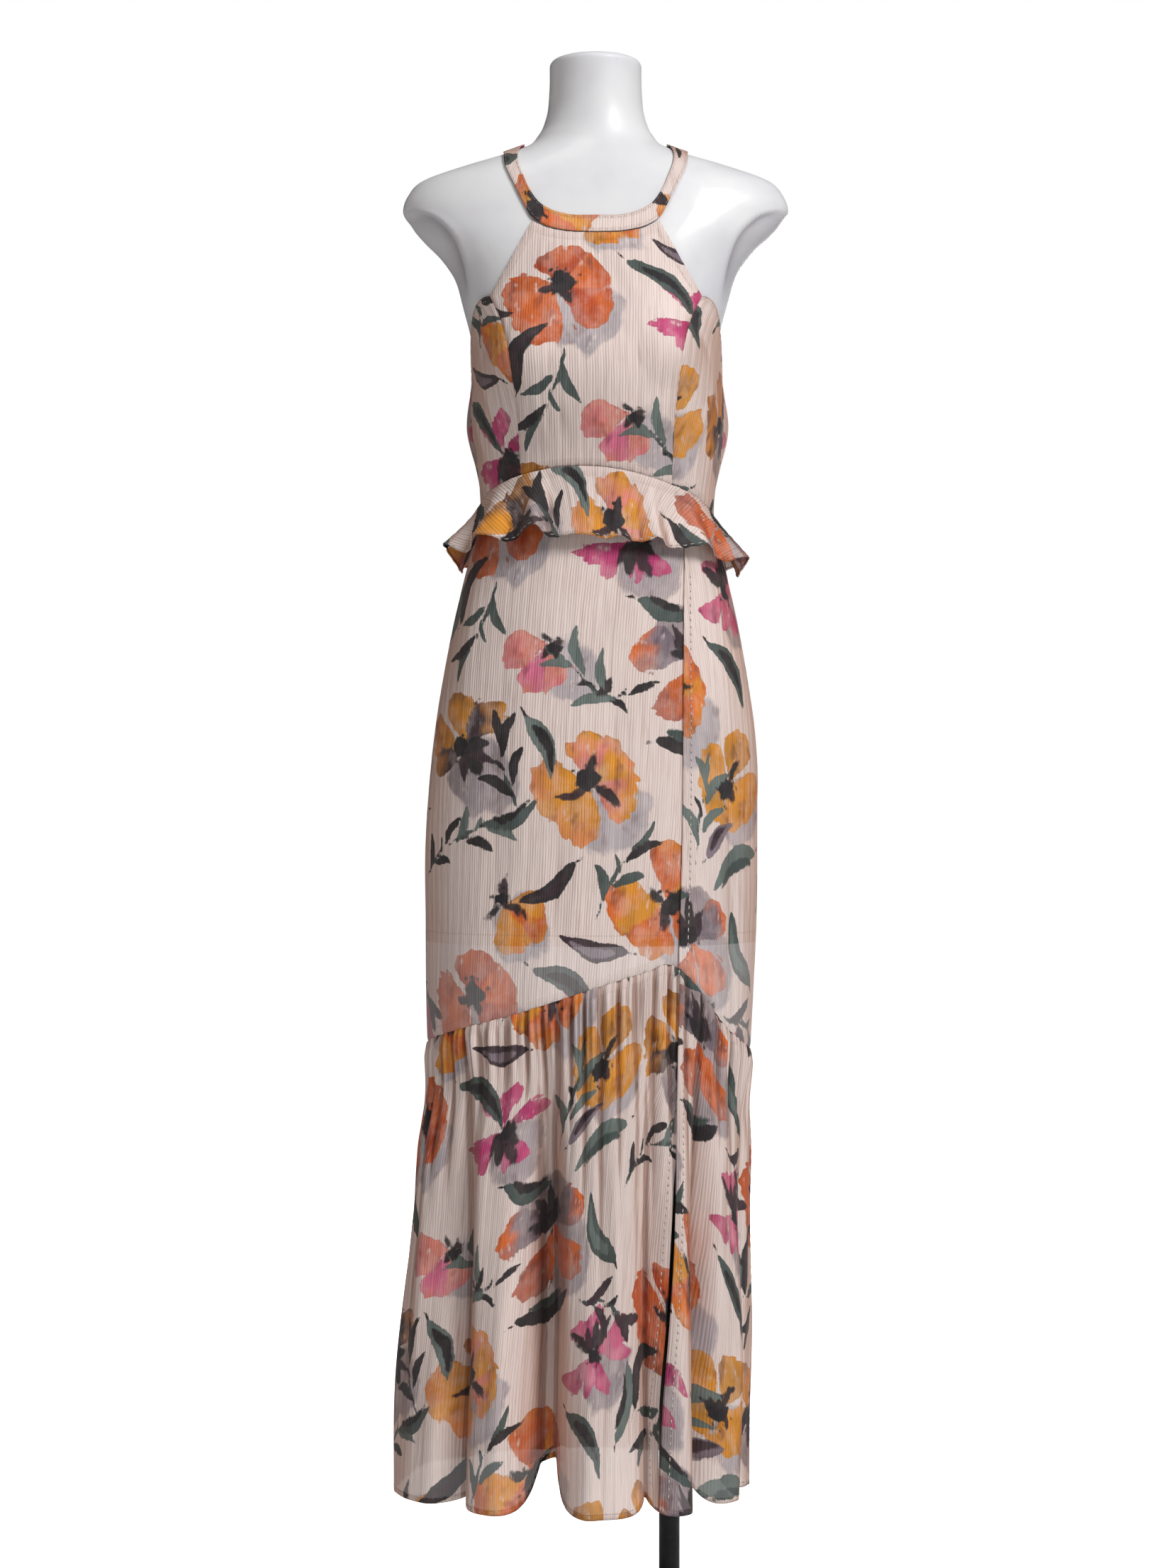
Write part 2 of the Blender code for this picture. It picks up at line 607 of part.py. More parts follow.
SKIRT_ROWS = np.array([0.0, 0.03, 0.07, 0.12, 0.19, 0.27, 0.37, 0.48, 0.60, 0.73, 0.86, 1.0])
LINING_ROWS = np.array([0.0, 0.04, 0.09, 0.15, 0.23, 0.34, 0.50, 0.66, 0.83, 1.0])


def wrap_angle(height):
    return angle_of_offset(along(WRAP_EDGE, height), height, garment_radius)


def over_lift(angle, edge_angle):
    """The wrap's upper layer lies outside the lower one near its free edge."""
    return (CLOTH + LAYER) * (1 - soft_step((angle - edge_angle - math.radians(WRAP_UNDERLAP + 3)) / 0.2))


def skirt_under(u, v):
    """Wide front panel, from the left side seam to beneath the wrap's edge; v from the waist down."""
    start = inset(math.radians(-SIDE_SEAM), 0.15, 1)
    level = 1.19 + (0.70 - 1.19) * v
    end = wrap_angle(level) + math.radians(WRAP_UNDERLAP)
    angle = start + (end - start) * u
    top = waist_height(angle) - SEAM
    bottom = tier_seam_height(angle) + SEAM
    height = top + (bottom - top) * v
    return on_axis(angle, garment_radius(angle, height), height)


def skirt_over(u, v):
    """Narrow front panel whose free edge laps over the wide one."""
    level = 1.19 + (0.70 - 1.19) * v
    start = wrap_angle(level)
    end = inset(math.radians(SIDE_SEAM), 0.15, -1)
    angle = start + (end - start) * u
    top = waist_height(angle) - SEAM
    bottom = tier_seam_height(angle) + SEAM
    height = top + (bottom - top) * v
    return on_axis(angle, garment_radius(angle, height) + over_lift(angle, start), height)


def skirt_back(side):
    """Back panel from the side seam to the back centre."""

    def place(u, v):
        start = math.radians(SIDE_SEAM) + 0.5 * SEAM / 0.15
        end = math.pi - 0.5 * SEAM / 0.1
        angle = side * (start + (end - start) * u)
        top = waist_height(angle) - SEAM
        bottom = tier_seam_height(angle) + SEAM
        height = top + (bottom - top) * v
        return on_axis(angle, garment_radius(angle, height), height)

    return place


def lining(u, v):
    """Closed tube inside the skirt, from the waist to above the tier seam."""
    angle = math.pi * (2 * u - 1)
    top = waist_height(angle) - 0.004
    height = top + (LINING_HEM - top) * v
    return on_axis(angle, garment_radius(angle, height) - CLOTH - LINING_GAP, height)


# Gathered tier

def tier_crest(angle):
    """1 on the crest of a fold and 0 in the valley between two."""
    crest = np.zeros(np.shape(angle))
    for fold in TIER_FOLDS:
        away = np.clip(np.abs(turn_between(angle, fold.angle)) / fold.half_width, 0.0, 1.0)
        crest = np.maximum(crest, 1 - away**2.6)
    return crest


def gather_phase(angle):
    """Counts the gathers round the tier seam, unevenly spaced."""
    return TIER_GATHERS * angle + GATHER_SHIFT * (np.sin(5 * angle + 0.7) + 0.8 * np.sin(8 * angle + 2.1))


def tier_surface(angle, v, lift=0.0):
    """Points of the tier, v from the tier seam to the hem."""
    crest = tier_crest(angle)
    around = np.degrees((angle + math.pi) % (2 * math.pi) - math.pi)
    valleys = [row.angle for row in TIER_VALLEYS]
    depth = curve_through(valleys, [row.depth for row in TIER_VALLEYS], around)
    raised = curve_through(valleys, [row.lift for row in TIER_VALLEYS], around)
    top = tier_seam_height(angle) - SEAM
    bottom = HEM + raised * (1 - crest)
    height = top + (bottom - top) * v
    spread = soft_step(v / 0.25)
    radius = garment_radius(angle, top) * (1 - spread) + section_radius(TIER, angle, height) * spread
    turn = (section_radius(TIER, angle + 0.01, height) - section_radius(TIER, angle - 0.01, height)) / 0.02
    gather = np.arcsin(np.sin(gather_phase(angle))) * 2 / math.pi
    gather = gather * (1 - hill(np.abs(around) - SIDE_SEAM, 1.2))
    fade = 0.35 + 0.65 * soft_step(v / 0.04)
    out = lift + GATHER_RISE * gather * fade * (1 - soft_step((v - 0.03) / 0.32))
    out = (out - depth * (1 - crest) * soft_step(v * 1.1) ** 0.8) / np.hypot(radius, turn)
    # folds stand in and out along the normal of the section, not towards the axis
    return np.stack([
        (radius + out * radius) * np.sin(angle) - out * turn * np.cos(angle),
        -(radius + out * radius) * np.cos(angle) - out * turn * np.sin(angle),
        height,
    ], axis=-1)


def gather_columns(start, end):
    """Angles in radians from start to end, with a column on each ridge and each valley of the gathers."""
    fine = np.linspace(start, end, 4000)
    phase = gather_phase(fine) / math.pi - 0.5
    turns = np.arange(math.ceil(phase[0] + 0.25), phase[-1] - 0.25)
    return np.concatenate([[start], np.interp(turns, phase, fine), [end]])


TIER_ROWS = np.array([0.0, 0.03, 0.08, 0.16, 0.27, 0.40, 0.55, 0.70, 0.85, 1.0])


def tier_panel(name, start, end, material, collection, left_edge=None, right_edge=None, lift=None):
    """Tier cloth between two upright seams; a free edge follows its own table of offsets instead."""
    angles = gather_columns(start, end)

    def place(u, v):
        angle = start + (end - start) * u
        for edge, fixed, seam in ((left_edge, end, start), (right_edge, start, end)):
            if edge is None:
                continue
            free = np.full(np.shape(v), seam)
            for _ in range(20):
                edge_points = tier_surface(free, v)
                free = free + (along(edge, edge_points[:, 2]) - edge_points[:, 0]) / 0.18
            angle = fixed + (angle - fixed) * (free - fixed) / (seam - fixed)
        return tier_surface(angle, v, 0.0 if lift is None else lift(angle))

    return cloth_panel(name, (angles - start) / (end - start), TIER_ROWS, place, material, collection)


# Stand

def build_rod(name, radius, bottom, top, x, segments, material, collection):
    bm = bmesh.new()
    bmesh.ops.create_cone(
        bm, cap_ends=True, segments=segments, depth=top - bottom, radius1=radius, radius2=radius
    )
    bmesh.ops.translate(bm, verts=bm.verts[:], vec=(x, 0.0, (top + bottom) / 2))
    return new_object(name, bm, material, collection)


def build_sleeve(name, profile, x, segments, material, collection):
    """Turned piece round the pole. The profile is a closed outline of (radius, height)."""
    bm = bmesh.new()
    verts = [bm.verts.new((radius, 0.0, height)) for radius, height in profile]
    for first, second in zip(verts, verts[1:] + verts[:1]):
        bm.edges.new((first, second))
    bmesh.ops.spin(
        bm, geom=bm.verts[:] + bm.edges[:], cent=(0, 0, 0), axis=(0, 0, 1), dvec=(0, 0, 0),
        angle=2 * math.pi, steps=segments, use_merge=True, use_duplicate=False,
    )
    bmesh.ops.recalc_face_normals(bm, faces=bm.faces[:])
    bmesh.ops.translate(bm, verts=bm.verts[:], vec=(x, 0.0, 0.0))
    return new_object(name, bm, material, collection)


def build_stand(metal, collection):
    plate = build_rod("base_plate", PLATE_RADIUS, 0.0, PLATE_THICK, 0.0, 48, metal, collection)
    rim = plate.modifiers.new("rim", "BEVEL")
    rim.width = 0.002
    rim.segments = 2
    rim.limit_method = "ANGLE"
    bore = POLE_RADIUS + LAYER
    foot = PLATE_THICK + SEAM
    build_sleeve(
        "pole_collar",
        [
            (bore, foot + COLLAR_HEIGHT), (COLLAR_RADIUS - 0.002, foot + COLLAR_HEIGHT),
            (COLLAR_RADIUS, foot + COLLAR_HEIGHT - 0.002), (COLLAR_RADIUS, foot), (bore, foot),
        ],
        POLE_X, 20, metal, collection,
    )
    roof = FORM_BOTTOM - SEAM
    build_rod("pole", POLE_RADIUS, foot, roof - SOCKET_ROOF - SEAM, POLE_X, 20, metal, collection)
    build_sleeve(
        "pole_socket",
        [
            (0.0005, roof), (SOCKET_RADIUS, roof), (SOCKET_RADIUS, roof - SOCKET_HEIGHT),
            (bore, roof - SOCKET_HEIGHT), (bore, roof - SOCKET_ROOF), (0.0005, roof - SOCKET_ROOF),
        ],
        POLE_X, 20, metal, collection,
    )


def new_material(name, colour, roughness, metallic=0.0):
    material = bpy.data.materials.new(name)
    material.use_nodes = True
    shader = material.node_tree.nodes["Principled BSDF"]
    shader.inputs["Base Color"].default_value = (*colour, 1.0)
    shader.inputs["Roughness"].default_value = roughness
    shader.inputs["Metallic"].default_value = metallic
    return material


def main():
    for obj in list(bpy.data.objects):
        bpy.data.objects.remove(obj)
    dress = bpy.data.collections.new("halter_dress_on_form")
    bpy.context.scene.collection.children.link(dress)

    chiffon = new_material("printed_chiffon", (0.78, 0.66, 0.61), 0.8)
    lining_cloth = new_material("lining_cloth", (0.68, 0.55, 0.49), 0.7)
    shell = new_material("white_form", (0.88, 0.88, 0.90), 0.45)
    metal = new_material("black_metal", (0.012, 0.012, 0.013), 0.4, 0.6)

    build_form(shell, dress)
    build_stand(metal, dress)

    bodice_rows = shares(SEAM_ROWS + EDGE_ROWS)
    cloth_panel("bodice_front_centre", shares(20), bodice_rows, bodice_centre, chiffon, dress)
    for side, word in ((-1, "left"), (1, "right")):
        cloth_panel(f"bodice_front_{word}", shares(6), shares(SEAM_ROWS), bodice_side(side), chiffon, dress)
        cloth_panel(f"bodice_back_{word}", shares(12), shares(SEAM_ROWS), bodice_back(side), chiffon, dress)
        cloth_panel(f"skirt_back_{word}", shares(13), SKIRT_ROWS, skirt_back(side), chiffon, dress)
    cloth_panel("neckband", shares(74), shares(2), neckband, chiffon, dress)
    build_button(chiffon, dress)

    cloth_panel("waist_ruffle_front", shares(44), shares(3), ruffle(-90.0, 90.0), chiffon, dress)
    cloth_panel("waist_ruffle_back", shares(38), shares(3), ruffle(90.0, 270.0), chiffon, dress)

    under_columns = np.concatenate([np.linspace(0.0, 0.72, 15), np.linspace(0.75, 1.0, 11)])
    over_columns = np.concatenate([np.linspace(0.0, 0.45, 9), np.linspace(0.55, 1.0, 5)])
    cloth_panel("skirt_front_under", under_columns, SKIRT_ROWS, skirt_under, chiffon, dress)
    cloth_panel("skirt_front_over", over_columns, SKIRT_ROWS, skirt_over, chiffon, dress)
    cloth_panel("skirt_lining", shares(34), LINING_ROWS, lining, lining_cloth, dress, closed=True)

    side_left = inset(math.radians(-SIDE_SEAM), 0.17, 1)
    side_right = inset(math.radians(SIDE_SEAM), 0.17, -1)
    slit = math.radians(30.0)
    tier_panel("tier_front_under", side_left, slit, chiffon, dress, right_edge=TIER_UNDER_EDGE)
    tier_panel(
        "tier_front_over", slit, side_right, chiffon, dress, left_edge=TIER_OVER_EDGE,
        lift=lambda angle: (CLOTH + 4 * LAYER) * (1 - soft_step((angle - math.radians(46.0)) / 0.2)),
    )
    tier_panel("tier_back", side_right + SEAM / 0.17, side_left + 2 * math.pi - SEAM / 0.17, chiffon, dress)


main()
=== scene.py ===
"""Halter-neck maxi dress on a limbless dress form: cloth, print, form finish, light and camera.

Metres, +Z up, the dress faces -Y. Angles round the body start at the front centre and grow towards +X.
"""

import math
from collections import namedtuple

import bmesh
import bpy
import numpy as np
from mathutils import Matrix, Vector


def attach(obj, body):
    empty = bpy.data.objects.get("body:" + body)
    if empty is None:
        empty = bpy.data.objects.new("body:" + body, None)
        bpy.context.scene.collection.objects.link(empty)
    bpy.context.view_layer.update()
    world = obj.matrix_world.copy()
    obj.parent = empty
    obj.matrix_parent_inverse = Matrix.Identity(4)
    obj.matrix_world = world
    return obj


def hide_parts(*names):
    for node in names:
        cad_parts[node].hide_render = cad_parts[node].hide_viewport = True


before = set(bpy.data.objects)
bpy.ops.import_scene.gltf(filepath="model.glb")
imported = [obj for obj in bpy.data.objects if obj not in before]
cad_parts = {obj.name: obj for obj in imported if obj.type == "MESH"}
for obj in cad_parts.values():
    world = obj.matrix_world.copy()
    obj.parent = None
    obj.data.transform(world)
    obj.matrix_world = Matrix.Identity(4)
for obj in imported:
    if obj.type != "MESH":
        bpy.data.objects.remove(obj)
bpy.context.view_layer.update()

# Sizes shared with the solids
CLOTH = 0.0013
SEAM = 0.0003
LAYER = 0.0008
EASE = 0.0036
SKIRT_EASE = 0.0066
LINING_GAP = 0.0016
BAND_GAP = 0.0016
WAIST_SIDE = 1.1725
WAIST_RISE = 0.0525
WAIST_PEAK = -9.0
SIDE_SEAM = 90.0
LINING_HEM = 0.735
HEM = 0.160

# Distances from the upright axis at which half a seam's gap is turned into an angle
BODICE_REACH = 0.13
RUFFLE_REACH = 0.125
SKIRT_REACH = 0.15
TIER_REACH = 0.17
BACK_REACH = 0.09
SKIRT_BACK_REACH = 0.1

# Sizes of the finish
SHEET_THICK = 0.0004        # the chiffon itself, where an edge is turned
SEAM_DIP = 0.0011           # how far the cloth dips into a seam
SEAM_DIP_WIDTH = 0.0016
HOLLOW_DEEP = 0.0016        # depth between folds at which the painted fold shade is full
SEAM_MEET = 0.00028         # how far a sewn edge reaches over the gap to its neighbour
SEAM_ALLOWANCE = 0.010      # cloth turned in behind a seam, which shows through
TURN_FREE_EDGE = 0.0085     # width of the turned edge of the wrap and slit
TURN_HEM = 0.0060
TURN_ARMHOLE = 0.0055
PUCKER_SPACING = 0.011
CRINKLE_RISE = 0.00018
CRINKLE_SPACING = 0.0028    # from one fine crease to the next

# Camera

FOCAL_PIXELS = 4000.0
PHOTO_HEIGHT = 2212.0
SENSOR = 36.0
CAMERA_PLACE = (-0.008, -3.0, 0.90)


def build_camera():
    camera = bpy.data.objects.new("camera", bpy.data.cameras.new("camera"))
    camera.data.sensor_fit = "VERTICAL"
    camera.data.sensor_height = SENSOR
    camera.data.lens = FOCAL_PIXELS / PHOTO_HEIGHT * SENSOR
    camera.location = CAMERA_PLACE
    camera.rotation_euler = (math.radians(90.0), 0.0, 0.0)
    bpy.context.scene.collection.objects.link(camera)
    bpy.context.scene.camera = camera


build_camera()

# Shape tables shared with the solids

def table(columns, *rows):
    """Rows of values with named columns."""
    return [columns(*row) for row in rows]


Section = namedtuple("Section", "height left right front back squareness")

FORM = table(
    Section,
    (1.664, 0.0485, 0.0485, 0.050, 0.056, 2.0),
    (1.630, 0.0490, 0.0490, 0.049, 0.058, 2.0),
    (1.603, 0.0525, 0.0525, 0.050, 0.062, 2.0),
    (1.585, 0.0605, 0.0605, 0.053, 0.069, 2.0),
    (1.571, 0.0750, 0.0750, 0.057, 0.077, 2.05),
    (1.5635, 0.0950, 0.0950, 0.060, 0.082, 2.1),
    (1.550, 0.1410, 0.1410, 0.065, 0.089, 2.2),
    (1.535, 0.1840, 0.1840, 0.070, 0.095, 2.25),
    (1.520, 0.1985, 0.1985, 0.075, 0.099, 2.3),
    (1.5045, 0.2035, 0.2035, 0.080, 0.102, 2.3),
    (1.489, 0.1985, 0.1985, 0.085, 0.105, 2.3),
    (1.4745, 0.1864, 0.1864, 0.090, 0.108, 2.35),
    (1.4595, 0.1710, 0.1710, 0.095, 0.110, 2.4),
    (1.440, 0.1565, 0.1565, 0.1005, 0.111, 2.4),
    (1.410, 0.1430, 0.1430, 0.1060, 0.111, 2.4),
    (1.370, 0.1315, 0.1315, 0.1110, 0.107, 2.4),
    (1.335, 0.1265, 0.1265, 0.1120, 0.102, 2.4),
    (1.290, 0.1235, 0.1235, 0.1060, 0.093, 2.35),
    (1.235, 0.1180, 0.1180, 0.0925, 0.081, 2.3),
    (1.180, 0.1150, 0.1150, 0.0845, 0.0755, 2.2),
    (1.130, 0.1280, 0.1280, 0.0890, 0.086, 2.2),
    (1.080, 0.1400, 0.1400, 0.0960, 0.100, 2.2),
    (1.020, 0.1515, 0.1515, 0.1030, 0.117, 2.2),
    (0.950, 0.1615, 0.1615, 0.1060, 0.1255, 2.2),
    (0.900, 0.1635, 0.1635, 0.1040, 0.1220, 2.2),
    (0.850, 0.1600, 0.1600, 0.0990, 0.1110, 2.2),
    (0.800, 0.1520, 0.1520, 0.0930, 0.1010, 2.2),
)
BUST_ANGLE = 31.0
BUST_HEIGHT = 1.335
BUST_RISE = 0.026
BUST_SPREAD_ANGLE = 15.0
BUST_SPREAD_HEIGHT = 0.036

GARMENT = table(
    Section,
    (1.490, 0.2000, 0.2000, 0.0870, 0.1060, 2.3),
    (1.4595, 0.1735, 0.1735, 0.0975, 0.1120, 2.4),
    (1.410, 0.1455, 0.1455, 0.1100, 0.1130, 2.4),
    (1.370, 0.1340, 0.1345, 0.1240, 0.1090, 2.4),
    (1.335, 0.1295, 0.1325, 0.1340, 0.1040, 2.45),
    (1.290, 0.1265, 0.1310, 0.1270, 0.0960, 2.4),
    (1.235, 0.1225, 0.1280, 0.1035, 0.0860, 2.3),
    (1.180, 0.1200, 0.1250, 0.0920, 0.0820, 2.2),
    (1.145, 0.1290, 0.1330, 0.0965, 0.0890, 2.2),
    (1.115, 0.1366, 0.1390, 0.1010, 0.0965, 2.2),
    (1.070, 0.1479, 0.1485, 0.1065, 0.1080, 2.2),
    (1.0245, 0.1576, 0.1560, 0.1110, 0.1200, 2.2),
    (0.980, 0.1651, 0.1615, 0.1145, 0.1290, 2.2),
    (0.9345, 0.1711, 0.1664, 0.1170, 0.1325, 2.2),
    (0.8895, 0.1756, 0.1686, 0.1195, 0.1330, 2.15),
    (0.8445, 0.1786, 0.1694, 0.1220, 0.1330, 2.1),
    (0.7545, 0.1786, 0.1686, 0.1275, 0.1340, 2.1),
    (0.687, 0.1786, 0.1656, 0.1310, 0.1350, 2.1),
    (0.600, 0.1770, 0.1615, 0.1330, 0.1370, 2.1),
)
TIER = table(
    Section,
    (0.720, 0.1790, 0.1670, 0.1295, 0.1350, 2.1),
    (0.620, 0.1780, 0.1615, 0.1330, 0.1375, 2.1),
    (0.530, 0.1895, 0.1655, 0.1380, 0.1430, 2.1),
    (0.440, 0.1970, 0.1645, 0.1420, 0.1490, 2.1),
    (0.350, 0.2050, 0.1660, 0.1460, 0.1560, 2.1),
    (0.260, 0.2130, 0.1645, 0.1500, 0.1620, 2.1),
    (0.150, 0.2180, 0.1635, 0.1540, 0.1680, 2.1),
)
PUFF_ANGLE = 112.0
PUFF_SPREAD = 15.0
PUFF_HEIGHT = 1.275
PUFF_TALL = 0.034
PUFF_RISE = 0.018

SkirtFold = namedtuple("SkirtFold", "angle spread rise top bottom")
SKIRT_FOLDS = table(
    SkirtFold,
    (-52.0, 7.0, 0.0035, 1.06, 0.62),
    (-24.0, 6.0, 0.0022, 0.95, 0.62),
    (6.0, 8.0, 0.0026, 0.92, 0.62),
    (72.0, 8.0, 0.0030, 1.00, 0.60),
    (128.0, 9.0, 0.0040, 0.96, 0.60),
    (176.0, 9.0, 0.0040, 0.94, 0.60),
    (-136.0, 9.0, 0.0040, 0.96, 0.60),
)
TierFold = namedtuple("TierFold", "angle half_width")
TIER_FOLDS = table(
    TierFold,
    (-75.5, 21.0), (-40.0, 14.0), (2.0, 21.0), (34.0, 11.5), (62.0, 14.5), (91.0, 14.5),
    (120.0, 14.0), (149.0, 15.0), (179.0, 15.0), (-151.0, 15.0), (-119.0, 16.0),
)
TierValley = namedtuple("TierValley", "angle depth lift")
TIER_VALLEYS = table(
    TierValley,
    (-180.0, 0.028, 0.012), (-130.0, 0.028, 0.012), (-96.0, 0.030, 0.034), (-51.0, 0.034, 0.007),
    (-20.0, 0.060, 0.046), (22.0, 0.028, 0.016), (45.0, 0.046, 0.040), (76.0, 0.028, 0.018),
    (120.0, 0.028, 0.012), (180.0, 0.028, 0.012),
)
TIER_GATHERS = 50
GATHER_SHIFT = 1.1
GATHER_RISE = 0.0026

RuffleFold = namedtuple("RuffleFold", "angle half_width rise")
RUFFLE_FOLDS = table(
    RuffleFold,
    (-86.0, 13.0, 0.020), (-58.0, 13.0, 0.014), (-34.0, 9.5, 0.017), (-8.0, 14.0, 0.004),
    (13.0, 8.0, 0.004), (31.0, 7.5, 0.009), (52.0, 11.0, 0.010), (80.0, 14.0, 0.016),
    (108.0, 13.0, 0.016), (135.0, 13.0, 0.018), (162.0, 13.0, 0.016), (-171.0, 13.0, 0.018),
    (-144.0, 13.0, 0.016), (-116.0, 14.0, 0.018),
)
RUFFLE_DROP_SIDE = 0.052
RUFFLE_DROP_FRONT = 0.021
RUFFLE_FLARE = 0.011

EdgePoint = namedtuple("EdgePoint", "key value")
PRINCESS = table(
    EdgePoint,
    (1.160, 0.0780), (1.216, 0.0790), (1.267, 0.0815), (1.322, 0.0870), (1.357, 0.0930),
    (1.383, 0.1010), (1.402, 0.1100),
)
ARMHOLE_UPPER = table(
    EdgePoint,
    (1.402, 0.1100), (1.425, 0.0955), (1.4545, 0.0790), (1.4760, 0.0675), (1.4950, 0.0600),
)
PRINCESS_TOP = 1.402
ARMHOLE_LOWER = table(
    EdgePoint,
    (53.0, 1.402), (62.0, 1.387), (72.0, 1.365), (81.0, 1.344), (90.0, 1.327), (105.0, 1.318),
    (130.0, 1.314), (180.0, 1.312),
)
BAND_UPPER = table(
    EdgePoint,
    (0.0, 1.4833), (20.0, 1.4850), (30.5, 1.4914), (36.5, 1.4990), (43.2, 1.5150), (49.0, 1.5330),
    (57.0, 1.5530), (67.0, 1.5650), (90.0, 1.5720), (120.0, 1.5780), (150.0, 1.5820),
    (180.0, 1.5830),
)
BAND_LOWER = table(
    EdgePoint,
    (0.0, 1.4655), (19.5, 1.4675), (31.4, 1.4740), (38.5, 1.4835), (45.0, 1.5030), (52.6, 1.5270),
    (61.6, 1.5495), (73.0, 1.5600), (90.0, 1.5645), (120.0, 1.5650), (150.0, 1.5650),
    (180.0, 1.5655),
)
BAND_LAP = 9.0
WRAP_EDGE = table(
    EdgePoint,
    (1.230, 0.0830), (1.160, 0.0905), (1.060, 0.0900), (0.950, 0.0885), (0.820, 0.0870),
    (0.7155, 0.0838), (0.690, 0.0830),
)
WRAP_UNDERLAP = 12.0
TIER_OVER_EDGE = table(
    EdgePoint,
    (0.7155, 0.0838), (0.620, 0.0815), (0.530, 0.0796), (0.450, 0.0782), (0.350, 0.0725),
    (0.270, 0.0660), (0.160, 0.0610),
)
TIER_UNDER_EDGE = table(
    EdgePoint,
    (0.7155, 0.1050), (0.620, 0.0950), (0.530, 0.0820), (0.450, 0.0768), (0.350, 0.0710),
    (0.270, 0.0642), (0.160, 0.0640),
)
TIER_SEAM = table(
    EdgePoint,
    (-180.0, 0.6150), (-130.0, 0.6170), (-90.0, 0.6270), (-64.0, 0.6440), (-36.0, 0.6650),
    (0.0, 0.6935), (22.0, 0.7090), (34.0, 0.7155), (45.0, 0.6900), (55.0, 0.6600), (68.0, 0.6350),
    (90.0, 0.6200), (130.0, 0.6160), (180.0, 0.6150),
)

# Soft creases, given one by one: from one angle and height to another, half width and rise in metres
Crease = namedtuple("Crease", "angle height to_angle to_height spread rise")
CREASES = table(
    Crease,
    # bodice front, from the bust towards the waist and the armholes
    (-30.0, 1.318, -24.0, 1.236, 0.0060, 0.0011),
    (-18.0, 1.300, -14.0, 1.232, 0.0045, -0.0009),
    (8.0, 1.330, 4.0, 1.240, 0.0065, 0.0010),
    (20.0, 1.310, 16.0, 1.236, 0.0045, -0.0008),
    (30.0, 1.300, 26.0, 1.230, 0.0055, 0.0010),
    (-12.0, 1.455, -30.0, 1.372, 0.0065, 0.0009),
    (9.0, 1.456, 24.0, 1.380, 0.0060, 0.0008),
    (44.0, 1.380, 58.0, 1.335, 0.0050, -0.0011),
    (-44.0, 1.384, -60.0, 1.332, 0.0050, -0.0010),
    (-62.0, 1.330, -50.0, 1.262, 0.0060, 0.0014),
    (64.0, 1.322, 54.0, 1.250, 0.0060, 0.0013),
    (-82.0, 1.310, -66.0, 1.236, 0.0070, 0.0018),
    (84.0, 1.306, 70.0, 1.232, 0.0070, 0.0016),
    # bodice back
    (104.0, 1.300, 122.0, 1.206, 0.0070, 0.0018),
    (-104.0, 1.300, -124.0, 1.204, 0.0075, 0.0019),
    (132.0, 1.290, 146.0, 1.210, 0.0060, -0.0013),
    (-134.0, 1.286, -150.0, 1.206, 0.0060, -0.0012),
    (158.0, 1.292, 164.0, 1.214, 0.0050, 0.0010),
    # skirt front, falling from the hips
    (-66.0, 1.120, -60.0, 0.930, 0.0090, 0.0016),
    (-47.0, 1.060, -44.0, 0.760, 0.0075, -0.0015),
    (-34.0, 1.020, -36.0, 0.700, 0.0085, 0.0017),
    (-20.0, 0.900, -16.0, 0.700, 0.0065, -0.0014),
    (-7.0, 1.000, -9.0, 0.720, 0.0080, 0.0013),
    (8.0, 1.080, 11.0, 0.850, 0.0070, -0.0010),
    (20.0, 0.960, 18.0, 0.725, 0.0070, 0.0013),
    (48.0, 1.020, 46.0, 0.720, 0.0080, 0.0012),
    (60.0, 0.930, 62.0, 0.650, 0.0060, -0.0014),
    (80.0, 1.060, 82.0, 0.640, 0.0090, 0.0018),
    (-80.0, 1.040, -84.0, 0.650, 0.0090, 0.0018),
    # skirt back, from the seat down
    (104.0, 1.000, 106.0, 0.640, 0.0090, 0.0020),
    (120.0, 0.930, 118.0, 0.640, 0.0070, -0.0018),
    (142.0, 0.950, 144.0, 0.630, 0.0090, 0.0022),
    (160.0, 0.900, 158.0, 0.630, 0.0070, -0.0018),
    (-104.0, 1.010, -108.0, 0.640, 0.0090, 0.0020),
    (-122.0, 0.920, -120.0, 0.640, 0.0070, -0.0018),
    (-146.0, 0.950, -148.0, 0.630, 0.0090, 0.0022),
    (-164.0, 0.890, -162.0, 0.630, 0.0070, -0.0017),
)

